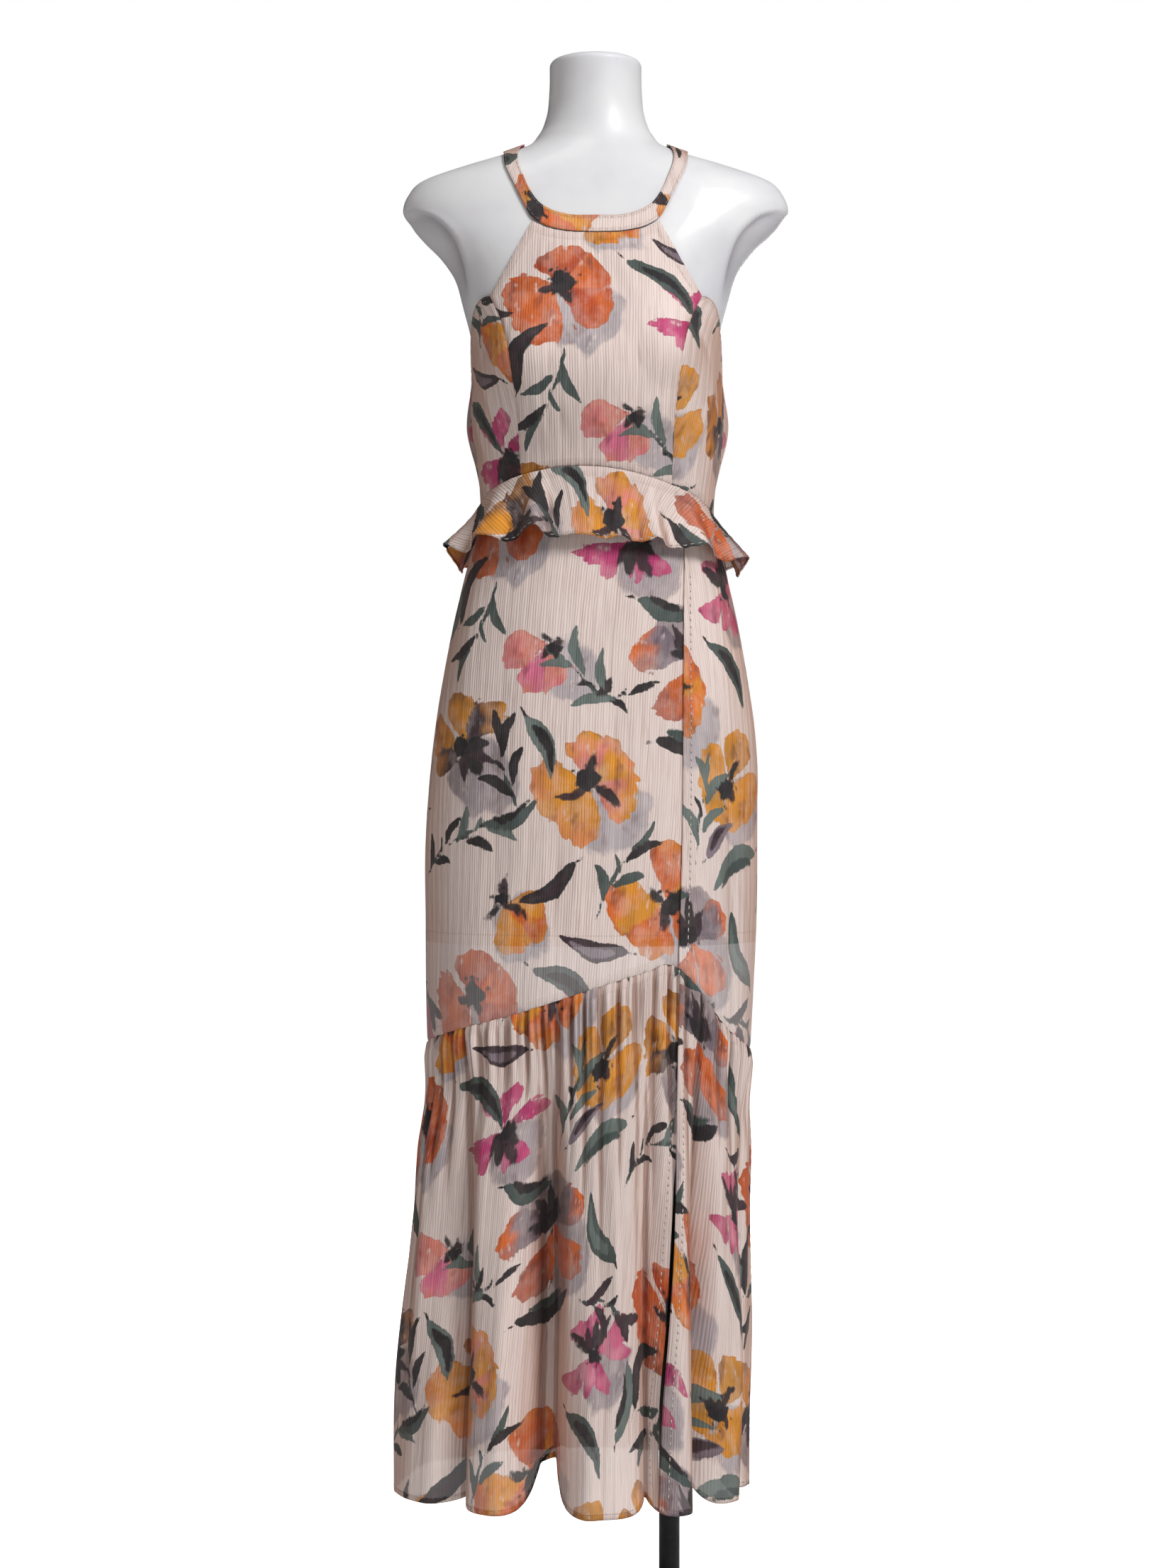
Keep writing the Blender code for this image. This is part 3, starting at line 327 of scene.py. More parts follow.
# Finer folds of the tier that the solids leave out. middle is the share of the drop where a fold is fullest
FineFold = namedtuple("FineFold", "angle half_width rise middle reach")
TIER_FINE_FOLDS = table(
    FineFold,
    (-83.0, 3.2, 0.0045, 0.70, 0.40), (-70.0, 2.6, 0.0040, 0.45, 0.40),
    (-61.0, 3.0, 0.0050, 0.85, 0.35), (-47.0, 2.4, 0.0035, 0.40, 0.35),
    (-36.0, 2.8, 0.0045, 0.75, 0.35), (-28.0, 2.2, 0.0030, 0.35, 0.30),
    (-12.0, 2.6, 0.0040, 0.45, 0.40), (-3.0, 3.0, 0.0045, 0.90, 0.35),
    (9.0, 2.6, 0.0040, 0.50, 0.45), (17.0, 2.0, 0.0030, 0.30, 0.30),
    (34.0, 2.6, 0.0040, 0.55, 0.45), (54.0, 2.4, 0.0040, 0.40, 0.40),
    (66.0, 3.0, 0.0045, 0.75, 0.40), (80.0, 2.6, 0.0040, 0.50, 0.40),
    (97.0, 3.0, 0.0045, 0.65, 0.40), (112.0, 2.6, 0.0040, 0.45, 0.40),
    (127.0, 3.0, 0.0045, 0.80, 0.40), (143.0, 2.6, 0.0040, 0.45, 0.40),
    (156.0, 3.0, 0.0045, 0.75, 0.40), (172.0, 2.6, 0.0040, 0.50, 0.40),
    (-173.0, 3.0, 0.0045, 0.80, 0.40), (-158.0, 2.6, 0.0040, 0.45, 0.40),
    (-143.0, 3.0, 0.0045, 0.70, 0.40), (-127.0, 2.6, 0.0040, 0.50, 0.40),
    (-111.0, 3.0, 0.0045, 0.75, 0.40),
)


# Curves and surfaces shared with the solids

def curve_through(knots, values, at):
    """Smooth curve through the knots, flat beyond both ends. Works on arrays."""
    knots = np.asarray(knots, float)
    values = np.asarray(values, float)
    at = np.clip(np.asarray(at, float), knots[0], knots[-1])
    slopes = np.gradient(values, knots)
    i = np.clip(np.searchsorted(knots, at, side="right") - 1, 0, len(knots) - 2)
    step = knots[i + 1] - knots[i]
    t = (at - knots[i]) / step
    return (
        values[i] * (2 * t**3 - 3 * t**2 + 1)
        + slopes[i] * step * (t**3 - 2 * t**2 + t)
        + values[i + 1] * (3 * t**2 - 2 * t**3)
        + slopes[i + 1] * step * (t**3 - t**2)
    )


def along(edge, key):
    """Value of an edge table at the given keys."""
    rows = sorted(edge)
    return curve_through([row.key for row in rows], [row.value for row in rows], key)


def section_radius(sections, angle, height):
    """Distance from the upright axis to a superellipse section, by angle in radians and height."""
    rows = sorted(sections)
    heights = [row.height for row in rows]
    left, right, front, back, square = (
        curve_through(heights, [getattr(row, column) for row in rows], height)
        for column in ("left", "right", "front", "back", "squareness")
    )
    across = np.where(np.sin(angle) > 0, right, left)
    deep = np.where(np.cos(angle) > 0, front, back)
    inverse = np.abs(np.sin(angle) / across) ** square + np.abs(np.cos(angle) / deep) ** square
    return inverse ** (-1 / square)


def turn_between(angle, centre):
    """Signed degrees from centre to angle, from -180 to 180."""
    return (np.degrees(angle) - centre + 180.0) % 360.0 - 180.0


def hill(distance, spread):
    """Bell curve of height 1."""
    return np.exp(-0.5 * (distance / spread) ** 2)


def soft_step(value):
    """0 below 0, 1 above 1 and smooth between."""
    t = np.clip(value, 0.0, 1.0)
    return t * t * (3 - 2 * t)


def soft_greater(a, b, blend=0.002):
    """The greater of two lengths, rounded off where they cross."""
    return np.maximum(a, b) + blend * np.log1p(np.exp(-np.abs(a - b) / blend)) * 0.7


def form_radius(angle, height):
    """The dress form's surface."""
    bust = sum(
        hill(turn_between(angle, side * BUST_ANGLE), BUST_SPREAD_ANGLE) for side in (-1, 1)
    ) * hill(height - BUST_HEIGHT, BUST_SPREAD_HEIGHT)
    return section_radius(FORM, angle, height) + BUST_RISE * bust


def garment_radius(angle, height):
    """The outside of the bodice and skirt."""
    shape = section_radius(GARMENT, angle, height)
    puff = sum(hill(turn_between(angle, side * PUFF_ANGLE), PUFF_SPREAD) for side in (-1, 1))
    shape = shape + PUFF_RISE * puff * hill(height - PUFF_HEIGHT, PUFF_TALL)
    for fold in SKIRT_FOLDS:
        grown = soft_step((fold.top - height) / (fold.top - fold.bottom))
        shape = shape + fold.rise * grown * hill(turn_between(angle, fold.angle), fold.spread)
    ease = EASE + (SKIRT_EASE - EASE) * soft_step((1.235 - height) / 0.03)
    return soft_greater(shape, form_radius(angle, height) + ease)


def waist_height(angle):
    """The waist seam, which arches up in front."""
    away = np.clip(np.abs(turn_between(angle, WAIST_PEAK)) * 0.9, 0.0, 90.0)
    return WAIST_SIDE + WAIST_RISE * np.cos(np.radians(away))


def tier_seam_height(angle):
    return along(TIER_SEAM, turn_between(angle, 0.0))


def unit(vectors):
    return vectors / np.linalg.norm(vectors, axis=-1, keepdims=True)


def on_axis(angle, radius, height):
    """Point at an angle and a distance from the upright axis."""
    angle, radius, height = np.broadcast_arrays(angle, radius, height)
    return np.stack([radius * np.sin(angle), -radius * np.cos(angle), height], axis=-1)


def angle_of_offset(offset, height, radius_of):
    """Angle at which the surface lies that far to the right of the centre line, in front."""
    angle = np.full(np.shape(offset), 0.6)
    for _ in range(25):
        angle = np.arcsin(np.clip(offset / radius_of(angle, height), -0.98, 0.98))
    return angle


def by_row(edge, rows):
    """Spreads a value worked out once for each row over all the points of that row."""
    levels, index = np.unique(rows, return_inverse=True)
    return edge(levels)[index.reshape(np.shape(rows))]


def inset(angle, radius, side):
    """Moves a seam's angle by half the seam gap, towards side."""
    return angle + side * 0.5 * SEAM / radius


SEAM_ROWS = 10
EDGE_ROWS = 5


def princess_angle(height, side):
    offset = np.where(height <= PRINCESS_TOP, along(PRINCESS, height), along(ARMHOLE_UPPER, height))
    return side * angle_of_offset(offset, height, garment_radius)


def princess_foot(side):
    height = WAIST_SIDE + WAIST_RISE * 0.8
    for _ in range(12):
        height = float(waist_height(princess_angle(height, side)))
    return height + SEAM


def neck_corner(side):
    height = 1.48
    for _ in range(12):
        height = float(along(BAND_LOWER, abs(math.degrees(princess_angle(height, side))))) - SEAM
    return height


FOOT = {side: princess_foot(side) for side in (-1, 1)}
CORNER = {side: neck_corner(side) for side in (-1, 1)}


def centre_edge(side, v):
    split = SEAM_ROWS / (SEAM_ROWS + EDGE_ROWS)
    height = np.where(
        v <= split,
        FOOT[side] + (PRINCESS_TOP - FOOT[side]) * v / split,
        PRINCESS_TOP + (CORNER[side] - PRINCESS_TOP) * (v - split) / (1 - split),
    )
    return inset(by_row(lambda level: princess_angle(level, side), height), BODICE_REACH, -side), height


def bodice_centre(u, v):
    """u from left to right, v from the waist to the neckband."""
    left, right = centre_edge(-1, v), centre_edge(1, v)
    angle, height = (left[i] + (right[i] - left[i]) * u for i in (0, 1))
    for end, weight in ((0.0, (1 - v) ** 2), (1.0, v**3)):
        left, right = centre_edge(-1, v * 0 + end), centre_edge(1, v * 0 + end)
        turn, chord = (left[i] + (right[i] - left[i]) * u for i in (0, 1))
        line = waist_height(turn) + SEAM
        if end == 1.0:
            line = along(BAND_LOWER, np.abs(np.degrees(turn))) - SEAM
        height = height + (line - chord) * weight
    return on_axis(angle, garment_radius(angle, height), height)


def bodice_side(side):
    """u from the princess seam to the side seam, v from the waist to the armhole."""

    def place(u, v):
        edge_height = FOOT[side] + (PRINCESS_TOP - FOOT[side]) * v
        seam = by_row(lambda level: princess_angle(level, side), edge_height)
        start = inset(seam, BODICE_REACH, side)
        end = side * inset(math.radians(SIDE_SEAM), BODICE_REACH, -1)
        angle = start + (end - start) * u
        bottom = waist_height(angle) + SEAM
        top = along(ARMHOLE_LOWER, np.abs(np.degrees(angle)))
        top = top + (PRINCESS_TOP - top) * (1 - u) ** 4
        height = bottom + (top - bottom) * v
        height = height + (edge_height - height) * (1 - u) ** 6
        return on_axis(angle, garment_radius(angle, height), height)

    return place


def bodice_back(side):
    """u from the side seam to the back centre, v from the waist up."""

    def place(u, v):
        start = inset(math.radians(SIDE_SEAM), BODICE_REACH, 1)
        end = inset(math.pi, BACK_REACH, -1)
        angle = side * (start + (end - start) * u)
        bottom = waist_height(angle) + SEAM
        top = along(ARMHOLE_LOWER, np.abs(np.degrees(angle)))
        height = bottom + (top - bottom) * v
        return on_axis(angle, garment_radius(angle, height), height)

    return place


def neckband(u, v):
    """u round the neck from one end to the other, v from the upper to the lower edge."""
    turn = np.radians(-180.0 - BAND_LAP + u * (360.0 + BAND_LAP))
    key = np.abs((np.degrees(turn) + 180.0) % 360.0 - 180.0)
    upper = along(BAND_UPPER, key)
    lower = along(BAND_LOWER, key)
    height = upper + (lower - upper) * v
    base = on_axis(turn, form_radius(turn, height), height)
    step = 0.002
    around = on_axis(turn + step, form_radius(turn + step, height), height) - base
    upward = on_axis(turn, form_radius(turn, height + step), height + step) - base
    normal = unit(np.cross(around, upward))
    lapped = soft_step((np.degrees(-turn) - 180.0 + BAND_LAP + 4.0) / 5.0)
    lift = CLOTH + BAND_GAP + lapped * (CLOTH + LAYER)
    return base + normal * lift[..., None]


# Folds of the ruffle that lean over sideways: angle, and degrees by which the crest is pushed at the hem
LEANING_FOLDS = table(
    EdgePoint,
    (-34.0, 5.2), (-58.0, -2.2), (52.0, 2.4), (135.0, 2.8), (-144.0, -3.0),
)


def leaning(angle):
    """Sideways push of the leaning folds, in radians."""
    push = np.zeros(np.shape(angle))
    for fold in LEANING_FOLDS:
        push = push + math.radians(fold.value) * hill(turn_between(angle, fold.key), 4.0)
    return push


def ruffle_wave(angle):
    wave = np.zeros(np.shape(angle))
    for fold in RUFFLE_FOLDS:
        away = np.clip(np.abs(turn_between(angle, fold.angle)) / fold.half_width, 0.0, 1.0)
        wave = wave + fold.rise * np.cos(away * math.pi / 2) ** 2
    return wave


def wrap_angle(height):
    return by_row(lambda level: angle_of_offset(along(WRAP_EDGE, level), level, garment_radius), height)


def over_lift(angle, edge_angle):
    """The wrap's upper layer lies outside the lower one near its free edge."""
    return (CLOTH + LAYER) * (1 - soft_step((angle - edge_angle - math.radians(WRAP_UNDERLAP + 3)) / 0.2))


def ruffle(start, end):
    """u from start to end in degrees, v from the seam to the ruffle's hem."""

    def place(u, v):
        first = inset(math.radians(start), RUFFLE_REACH, 1)
        last = inset(math.radians(end), RUFFLE_REACH, -1)
        angle = first + (last - first) * u
        front = np.clip(np.cos(angle), 0.0, 1.0)
        drop = RUFFLE_DROP_SIDE + RUFFLE_DROP_FRONT * front - 0.8 * ruffle_wave(angle)
        ragged = 0.0009 * cloud(angle * 19.0, 3.0) + 0.0005 * cloud(angle * 52.0, 8.0)
        height = waist_height(angle) - (drop + ragged) * v
        edge = angle_of_offset(along(WRAP_EDGE, height), height, garment_radius)
        lapped = over_lift(angle, edge) * soft_step((angle - edge + 0.07) / 0.06) * (angle < 1.6)
        out = CLOTH + LAYER + lapped + RUFFLE_FLARE * v + ruffle_wave(angle) * np.maximum(v, 0.0) ** 1.1
        leant = angle + leaning(angle) * soft_step(v) * v
        return on_axis(leant, garment_radius(angle, height) + out, height)

    return place


WRAP_TOP = 1.19
WRAP_FOOT = 0.70


def skirt_points(angle, v, lift=0.0):
    """Points of the skirt, v from the waist seam to the tier seam."""
    top = waist_height(angle) - SEAM
    bottom = tier_seam_height(angle) + SEAM
    height = top + (bottom - top) * v
    return on_axis(angle, garment_radius(angle, height) + lift, height)


def wrap_edge(v):
    """Angle of the wrap's free edge, v from the waist down."""
    return wrap_angle(WRAP_TOP + (WRAP_FOOT - WRAP_TOP) * v)


def skirt_under(u, v):
    start = inset(math.radians(-SIDE_SEAM), SKIRT_REACH, 1)
    end = wrap_edge(v) + math.radians(WRAP_UNDERLAP)
    return skirt_points(start + (end - start) * u, v)


def skirt_over(u, v):
    start = wrap_edge(v)
    end = inset(math.radians(SIDE_SEAM), SKIRT_REACH, -1)
    angle = start + (end - start) * u
    return skirt_points(angle, v, over_lift(angle, start))


def skirt_back(side):
    start = inset(math.radians(SIDE_SEAM), SKIRT_REACH, 1)
    end = inset(math.pi, SKIRT_BACK_REACH, -1)
    return lambda u, v: skirt_points(side * (start + (end - start) * u), v)


def lining(u, v):
    angle = math.pi * (2 * u - 1)
    top = waist_height(angle) - 0.004
    height = top + (LINING_HEM - top) * v
    return on_axis(angle, garment_radius(angle, height) - CLOTH - LINING_GAP, height)


CREST_BLEND = 16.0


def tier_crest(angle):
    """1 on the crest of a fold and 0 in the rounded valley between two."""
    total = np.zeros(np.shape(angle))
    for fold in TIER_FOLDS:
        away = np.clip(np.abs(turn_between(angle, fold.angle)) / fold.half_width, 0.0, 1.0)
        total = total + np.exp(CREST_BLEND * (1 - away**2.6)) - 1.0
    return np.log1p(total) / CREST_BLEND


def gather_phase(angle):
    """Counts the gathers round the tier seam, unevenly spaced."""
    return TIER_GATHERS * angle + GATHER_SHIFT * (np.sin(5 * angle + 0.7) + 0.8 * np.sin(8 * angle + 2.1))


FINE_FOLD_LEAN = 3.6         # degrees by which a fine fold leans over the whole drop


def fine_folds(angle, v):
    rise = np.zeros(np.shape(angle))
    for fold in TIER_FINE_FOLDS:
        away = turn_between(angle, fold.angle) + FINE_FOLD_LEAN * (v - fold.middle)
        rise = rise + fold.rise * hill(away, fold.half_width) * hill(v - fold.middle, fold.reach * 0.5)
    return rise


def tier_surface(angle, v, lift=0.0):
    """Points of the tier, v from the tier seam to the hem."""
    crest = tier_crest(angle)
    around = np.degrees((angle + math.pi) % (2 * math.pi) - math.pi)
    valleys = [row.angle for row in TIER_VALLEYS]
    depth = curve_through(valleys, [row.depth for row in TIER_VALLEYS], around)
    raised = curve_through(valleys, [row.lift for row in TIER_VALLEYS], around)
    top = tier_seam_height(angle) - SEAM
    bottom = HEM + raised * (1 - crest) ** 2.2
    height = top + (bottom - top) * v
    spread = soft_step(v / 0.25)
    radius = garment_radius(angle, top) * (1 - spread) + section_radius(TIER, angle, height) * spread
    nudge = 0.01
    turn = section_radius(TIER, angle + nudge, height) - section_radius(TIER, angle - nudge, height)
    turn = turn / (2 * nudge)
    phase = gather_phase(angle)
    calm = 1 - hill(np.abs(around) - SIDE_SEAM, 1.2)
    pleat = 2.0 * np.abs(np.cos(0.5 * phase)) ** 0.9 - 1.2
    main = 1.35 * pleat * (1 - soft_step((v - 0.03) / (0.48 + 0.26 * np.sin(3.1 * angle + 0.4))))
    small = 0.75 * np.sin(2.31 * phase + 1.0 + 1.4 * np.sin(4 * angle))
    small = small * (1 - soft_step((v - 0.01) / 0.22))
    fade = 0.35 + 0.65 * soft_step(v / 0.04)
    out = lift + GATHER_RISE * (main + small) * calm * fade
    out = out + (1.5 * fine_folds(angle, v) - 0.0030) * soft_step(v / 0.15) * calm
    out = (out - 1.12 * depth * (1 - crest) * soft_step(v * 1.25) ** 0.7) / np.hypot(radius, turn)
    return np.stack([
        (radius + out * radius) * np.sin(angle) - out * turn * np.cos(angle),
        -(radius + out * radius) * np.cos(angle) - out * turn * np.sin(angle),
        height,
    ], axis=-1)


def tier_place(start, end, left_edge=None, right_edge=None, lift=None):
    """Tier cloth between two upright seams; a free edge follows its own table of offsets instead."""

    def free_angle(levels, edge, seam):
        free = np.full(np.shape(levels), seam)
        for _ in range(20):
            points = tier_surface(free, levels)
            free = free + (along(edge, points[:, 2]) - points[:, 0]) / 0.18
        return free

    def place(u, v):
        angle = start + (end - start) * u
        for edge, fixed, seam in ((left_edge, end, start), (right_edge, start, end)):
            if edge is None:
                continue
            free = by_row(lambda levels: free_angle(levels, edge, seam), v)
            angle = fixed + (angle - fixed) * (free - fixed) / (seam - fixed)
        return tier_surface(angle, v, 0.0 if lift is None else lift(angle))

    return place


# Print: a repeat of generic blooms and leaves, charted on the flat cloth

def paint(red, green, blue):
    """Scene-linear colour from screen values of 0 to 255."""
    values = np.array([red, green, blue]) / 255.0
    return np.where(values <= 0.04045, values / 12.92, ((values + 0.055) / 1.055) ** 2.4)


GROUND = paint(242, 225, 219)
INKS = {
    "orange": paint(222, 106, 34),
    "rust": paint(190, 74, 26),
    "marigold": paint(228, 150, 34),
    "ochre": paint(206, 140, 42),
    "coral": paint(232, 138, 122),
    "magenta": paint(194, 48, 116),
    "rose": paint(222, 112, 146),
    "charcoal": paint(36, 31, 35),
    "plum": paint(58, 40, 48),
    "sage": paint(108, 122, 118),
    "moss": paint(72, 86, 83),
    "mauve": paint(130, 116, 126),
    "mist": paint(178, 170, 178),
}
LAYERS = ("wash", "petal", "shade", "leaf", "centre")

REPEAT_WIDTH = 0.44
REPEAT_HEIGHT = 0.50

# Blooms of the repeat: place of the centre, size, first petal's direction in degrees, kind and inks
Bloom = namedtuple("Bloom", "x y size turn kind ink second")
BLOOMS = table(
    Bloom,
    (0.062, 0.436, 0.064, 20.0, "poppy", "orange", "rust"),
    (0.212, 0.408, 0.058, 75.0, "windflower", "magenta", "rose"),
    (0.356, 0.446, 0.060, 130.0, "poppy", "marigold", "ochre"),
    (0.136, 0.300, 0.052, 200.0, "cup", "coral", "rose"),
    (0.292, 0.286, 0.070, 310.0, "shaded", "orange", "mauve"),
    (0.040, 0.192, 0.062, 160.0, "shaded", "marigold", "plum"),
    (0.186, 0.156, 0.062, 40.0, "poppy", "marigold", "coral"),
    (0.378, 0.150, 0.058, 250.0, "windflower", "rose", "magenta"),
    (0.274, 0.036, 0.064, 100.0, "poppy", "orange", "marigold"),
    (0.096, 0.034, 0.054, 285.0, "cup", "marigold", "orange"),
)

# Leaves of the repeat: place of the foot, direction in degrees, and the ink brushed over the first one
Leaf = namedtuple("Leaf", "x y turn length half_width bend ink over")
LEAVES = table(
    Leaf,
    (0.130, 0.468, -36.0, 0.100, 0.0120, 0.16, "moss", "charcoal"),
    (0.412, 0.376, 205.0, 0.092, 0.0110, -0.14, "sage", "moss"),
    (0.012, 0.324, 62.0, 0.086, 0.0105, 0.18, "charcoal", "plum"),
    (0.222, 0.348, -12.0, 0.070, 0.0100, -0.12, "moss", "charcoal"),
    (0.404, 0.236, 118.0, 0.092, 0.0120, 0.15, "moss", "sage"),
    (0.112, 0.226, -64.0, 0.074, 0.0095, 0.12, "sage", "charcoal"),
    (0.250, 0.202, 14.0, 0.086, 0.0115, -0.18, "charcoal", "moss"),
    (0.336, 0.094, -52.0, 0.094, 0.0115, 0.15, "moss", "charcoal"),
    (0.172, 0.078, 215.0, 0.076, 0.0100, 0.14, "charcoal", "plum"),
    (0.420, 0.050, 80.0, 0.080, 0.0110, -0.15, "sage", "charcoal"),
    (0.232, 0.488, 166.0, 0.078, 0.0095, 0.12, "plum", "mauve"),
    (0.318, 0.372, 34.0, 0.060, 0.0090, 0.10, "mauve", "plum"),
    (0.068, 0.112, 24.0, 0.070, 0.0090, -0.12, "moss", "charcoal"),
)

# Sprays: stem from its foot, with pairs of narrow leaves
Spray = namedtuple("Spray", "x y turn length leaves leaf_length ink")
SPRAYS = table(
    Spray,
    (0.300, 0.360, 76.0, 0.100, 6, 0.056, "sage"),
    (0.070, 0.376, 250.0, 0.088, 5, 0.050, "moss"),
    (0.226, 0.228, 142.0, 0.096, 6, 0.052, "sage"),
    (0.112, 0.126, 112.0, 0.078, 5, 0.050, "charcoal"),
    (0.340, 0.208, -18.0, 0.088, 5, 0.050, "plum"),
    (0.196, 0.018, 64.0, 0.084, 5, 0.046, "moss"),
    (0.016, 0.088, 22.0, 0.074, 5, 0.044, "sage"),
    (0.170, 0.240, 10.0, 0.052, 4, 0.036, "charcoal"),
    (0.412, 0.306, 40.0, 0.056, 4, 0.040, "charcoal"),
)
PETALS = {"poppy": 5, "windflower": 7, "cup": 3, "shaded": 6}


def lattice(x, y):
    value = np.sin(x * 127.1 + y * 311.7) * 43758.5453
    return value - np.floor(value)


def cloud(x, y):
    """Smooth noise between -1 and 1, one wave to a unit."""
    cell_x, cell_y = np.floor(x), np.floor(y)
    near_x, near_y = soft_step(x - cell_x), soft_step(y - cell_y)
    low = lattice(cell_x, cell_y) * (1 - near_x) + lattice(cell_x + 1, cell_y) * near_x
    high = lattice(cell_x, cell_y + 1) * (1 - near_x) + lattice(cell_x + 1, cell_y + 1) * near_x
    return 2 * (low * (1 - near_y) + high * near_y) - 1


class Print:
    """Depth of each ink inside its own outline, in metres, and its colour, at points of the flat cloth."""

    def __init__(self, x, y):
        self.x = x + 0.0022 * cloud(x / 0.021, y / 0.021) + 0.0010 * cloud(x / 0.007 + 9, y / 0.009)
        self.y = y + 0.0022 * cloud(x / 0.023 + 40, y / 0.020) + 0.0010 * cloud(x / 0.008, y / 0.007 + 5)
        self.depth = {layer: np.full(x.shape, -0.02) for layer in LAYERS}
        self.colour = {layer: np.tile(GROUND, (x.size, 1)) for layer in LAYERS}
        self.tone = cloud(x / 0.013 + 3, y / 0.019 + 8)
        self.seed = 0

    def reach(self, x, y, radius):
        """Points within radius of the nearest copy of (x, y), and their offsets from it."""
        column = np.round((self.x - x) / REPEAT_WIDTH)
        across = self.x - x - column * REPEAT_WIDTH
        drop = np.where(column % 2 == 0, 0.0, REPEAT_HEIGHT / 2)
        up = (self.y - y - drop + REPEAT_HEIGHT / 2) % REPEAT_HEIGHT - REPEAT_HEIGHT / 2
        near = np.nonzero(across**2 + up**2 < radius**2)[0]
        return near, across[near], up[near]

    def lay(self, layer, near, depth, colour):
        better = depth > self.depth[layer][near]
        chosen = near[better]
        self.depth[layer][chosen] = depth[better]
        shade = 1.0 + 0.20 * self.tone[chosen]
        colour = np.broadcast_to(colour, (near.size, 3))
        self.colour[layer][chosen] = colour[better] * shade[:, None]

    def stroke(
        self, layer, near, across, up, turn, start, length, half_width, colour,
        bend=0.0, blunt=0.5, ragged=0.0018, tip=None,
    ):
        """One brush stroke: fullest at the share blunt of its length, ragged along its direction."""
        self.seed += 1
        run = across * math.cos(turn) + up * math.sin(turn)
        side = -across * math.sin(turn) + up * math.cos(turn)
        share = np.clip((run - start) / length, 0.0, 1.0)
        side = side - bend * length * np.sin(math.pi * share) ** 1.2
        power = math.log(0.5) / math.log(blunt)
        width = half_width * np.sin(math.pi * share**power) ** 0.75
        beyond = np.maximum(start - run, run - start - length)
        dry = cloud(run / 0.030 + self.seed * 7.3, side / 0.0046 + self.seed * 3.1)
        depth = width - np.abs(side) - np.maximum(beyond, 0.0)
        depth = depth + (ragged * dry - 0.3 * ragged) * soft_step(share * 1.6 - 0.3)
        if tip is not None:
            streak = cloud(run / 0.016 + self.seed, side / 0.009)
            towards = soft_step(1.7 * share - 0.75 + 0.45 * streak)[:, None]
            colour = np.asarray(colour) * (1 - towards) + np.asarray(tip) * towards
        self.lay(layer, near, depth, colour)

    def bloom(self, row):
        near, across, up = self.reach(row.x, row.y, row.size * 1.9)
        if not near.size:
            return
        petals = PETALS[row.kind]
        ink, second = INKS[row.ink], INKS[row.second]
        spread = {"poppy": 0.46, "windflower": 0.23, "cup": 0.42, "shaded": 0.34}[row.kind]
        step = math.radians(38.0) if row.kind == "cup" else 2 * math.pi / petals
        self.lay(
            "wash", near,
            0.62 * row.size - np.hypot(across - 0.42 * row.size, up + 0.50 * row.size)
            + 0.007 * cloud(across / 0.016 + row.x * 50, up / 0.016),
            INKS["mist"] if row.kind in ("poppy", "cup") else 0.5 * (INKS["mist"] + INKS["mauve"]),
        )
        for i in range(petals):
            turn = math.radians(row.turn) + i * step + 0.22 * math.sin(7.0 * i + row.x * 90)
            length = row.size * (0.94 + 0.16 * math.sin(5.0 * i + row.y * 70))
            colour = second if i % 3 == 1 else ink
            if row.kind == "shaded" and i in (2, 3):
                self.stroke(
                    "wash", near, across, up, turn, 0.004, length, row.size * 0.42, INKS["mauve"],
                    blunt=0.6,
                )
                continue
            self.stroke(
                "petal", near, across, up, turn, 0.0, length, row.size * spread, colour,
                bend=0.14 * math.sin(3.0 * i + row.x * 40), blunt=0.66, ragged=0.0062,
                tip=ink if colour is second else 0.55 * ink + 0.45 * second,
            )
        for i in range(3 if row.kind in ("poppy", "cup") else 0):
            turn = math.radians(row.turn) + 2.1 * i + 0.7
            length = row.size * (0.44 + 0.16 * math.sin(6.0 * i + row.x * 80))
            self.stroke(
                "shade", near, across, up, turn, 0.05 * row.size, length, row.size * 0.085,
                INKS["plum"] if i % 2 else INKS["charcoal"], bend=0.12, blunt=0.4, ragged=0.0034,
            )
        if row.kind in ("windflower", "shaded"):
            for i in range(4):
                turn = math.radians(row.turn) + (i - 1) * 0.55 + (2.6 if row.kind == "shaded" else 3.4)
                dark = INKS["charcoal"] if i % 2 else INKS["plum"]
                length = row.size * (0.62 + 0.14 * math.sin(4.0 * i + row.y * 60))
                self.stroke(
                    "shade", near, across, up, turn, 0.002, length, row.size * 0.125, dark,
                    blunt=0.45, ragged=0.0040,
                )
        shift_x, shift_y = 0.10 * row.size * math.cos(row.turn), 0.10 * row.size * math.sin(row.turn)
        radius = row.size * (0.19 if row.kind == "poppy" else 0.15)
        heart = radius - np.hypot(across - shift_x, up - shift_y)
        heart = heart + 0.0035 * cloud(across / 0.006 + row.y * 30, up / 0.006)
        self.lay("centre", near, heart, INKS["charcoal"])
        for i in range(9 if row.kind == "poppy" else 5):
            turn = 2.4 * i + row.x * 30
            far = radius * (1.35 + 0.30 * math.sin(3.3 * i))
            dot = 0.0020 - np.hypot(
                across - shift_x - far * math.cos(turn), up - shift_y - far * math.sin(turn)
            )
            self.lay("centre", near, dot, INKS["charcoal"])

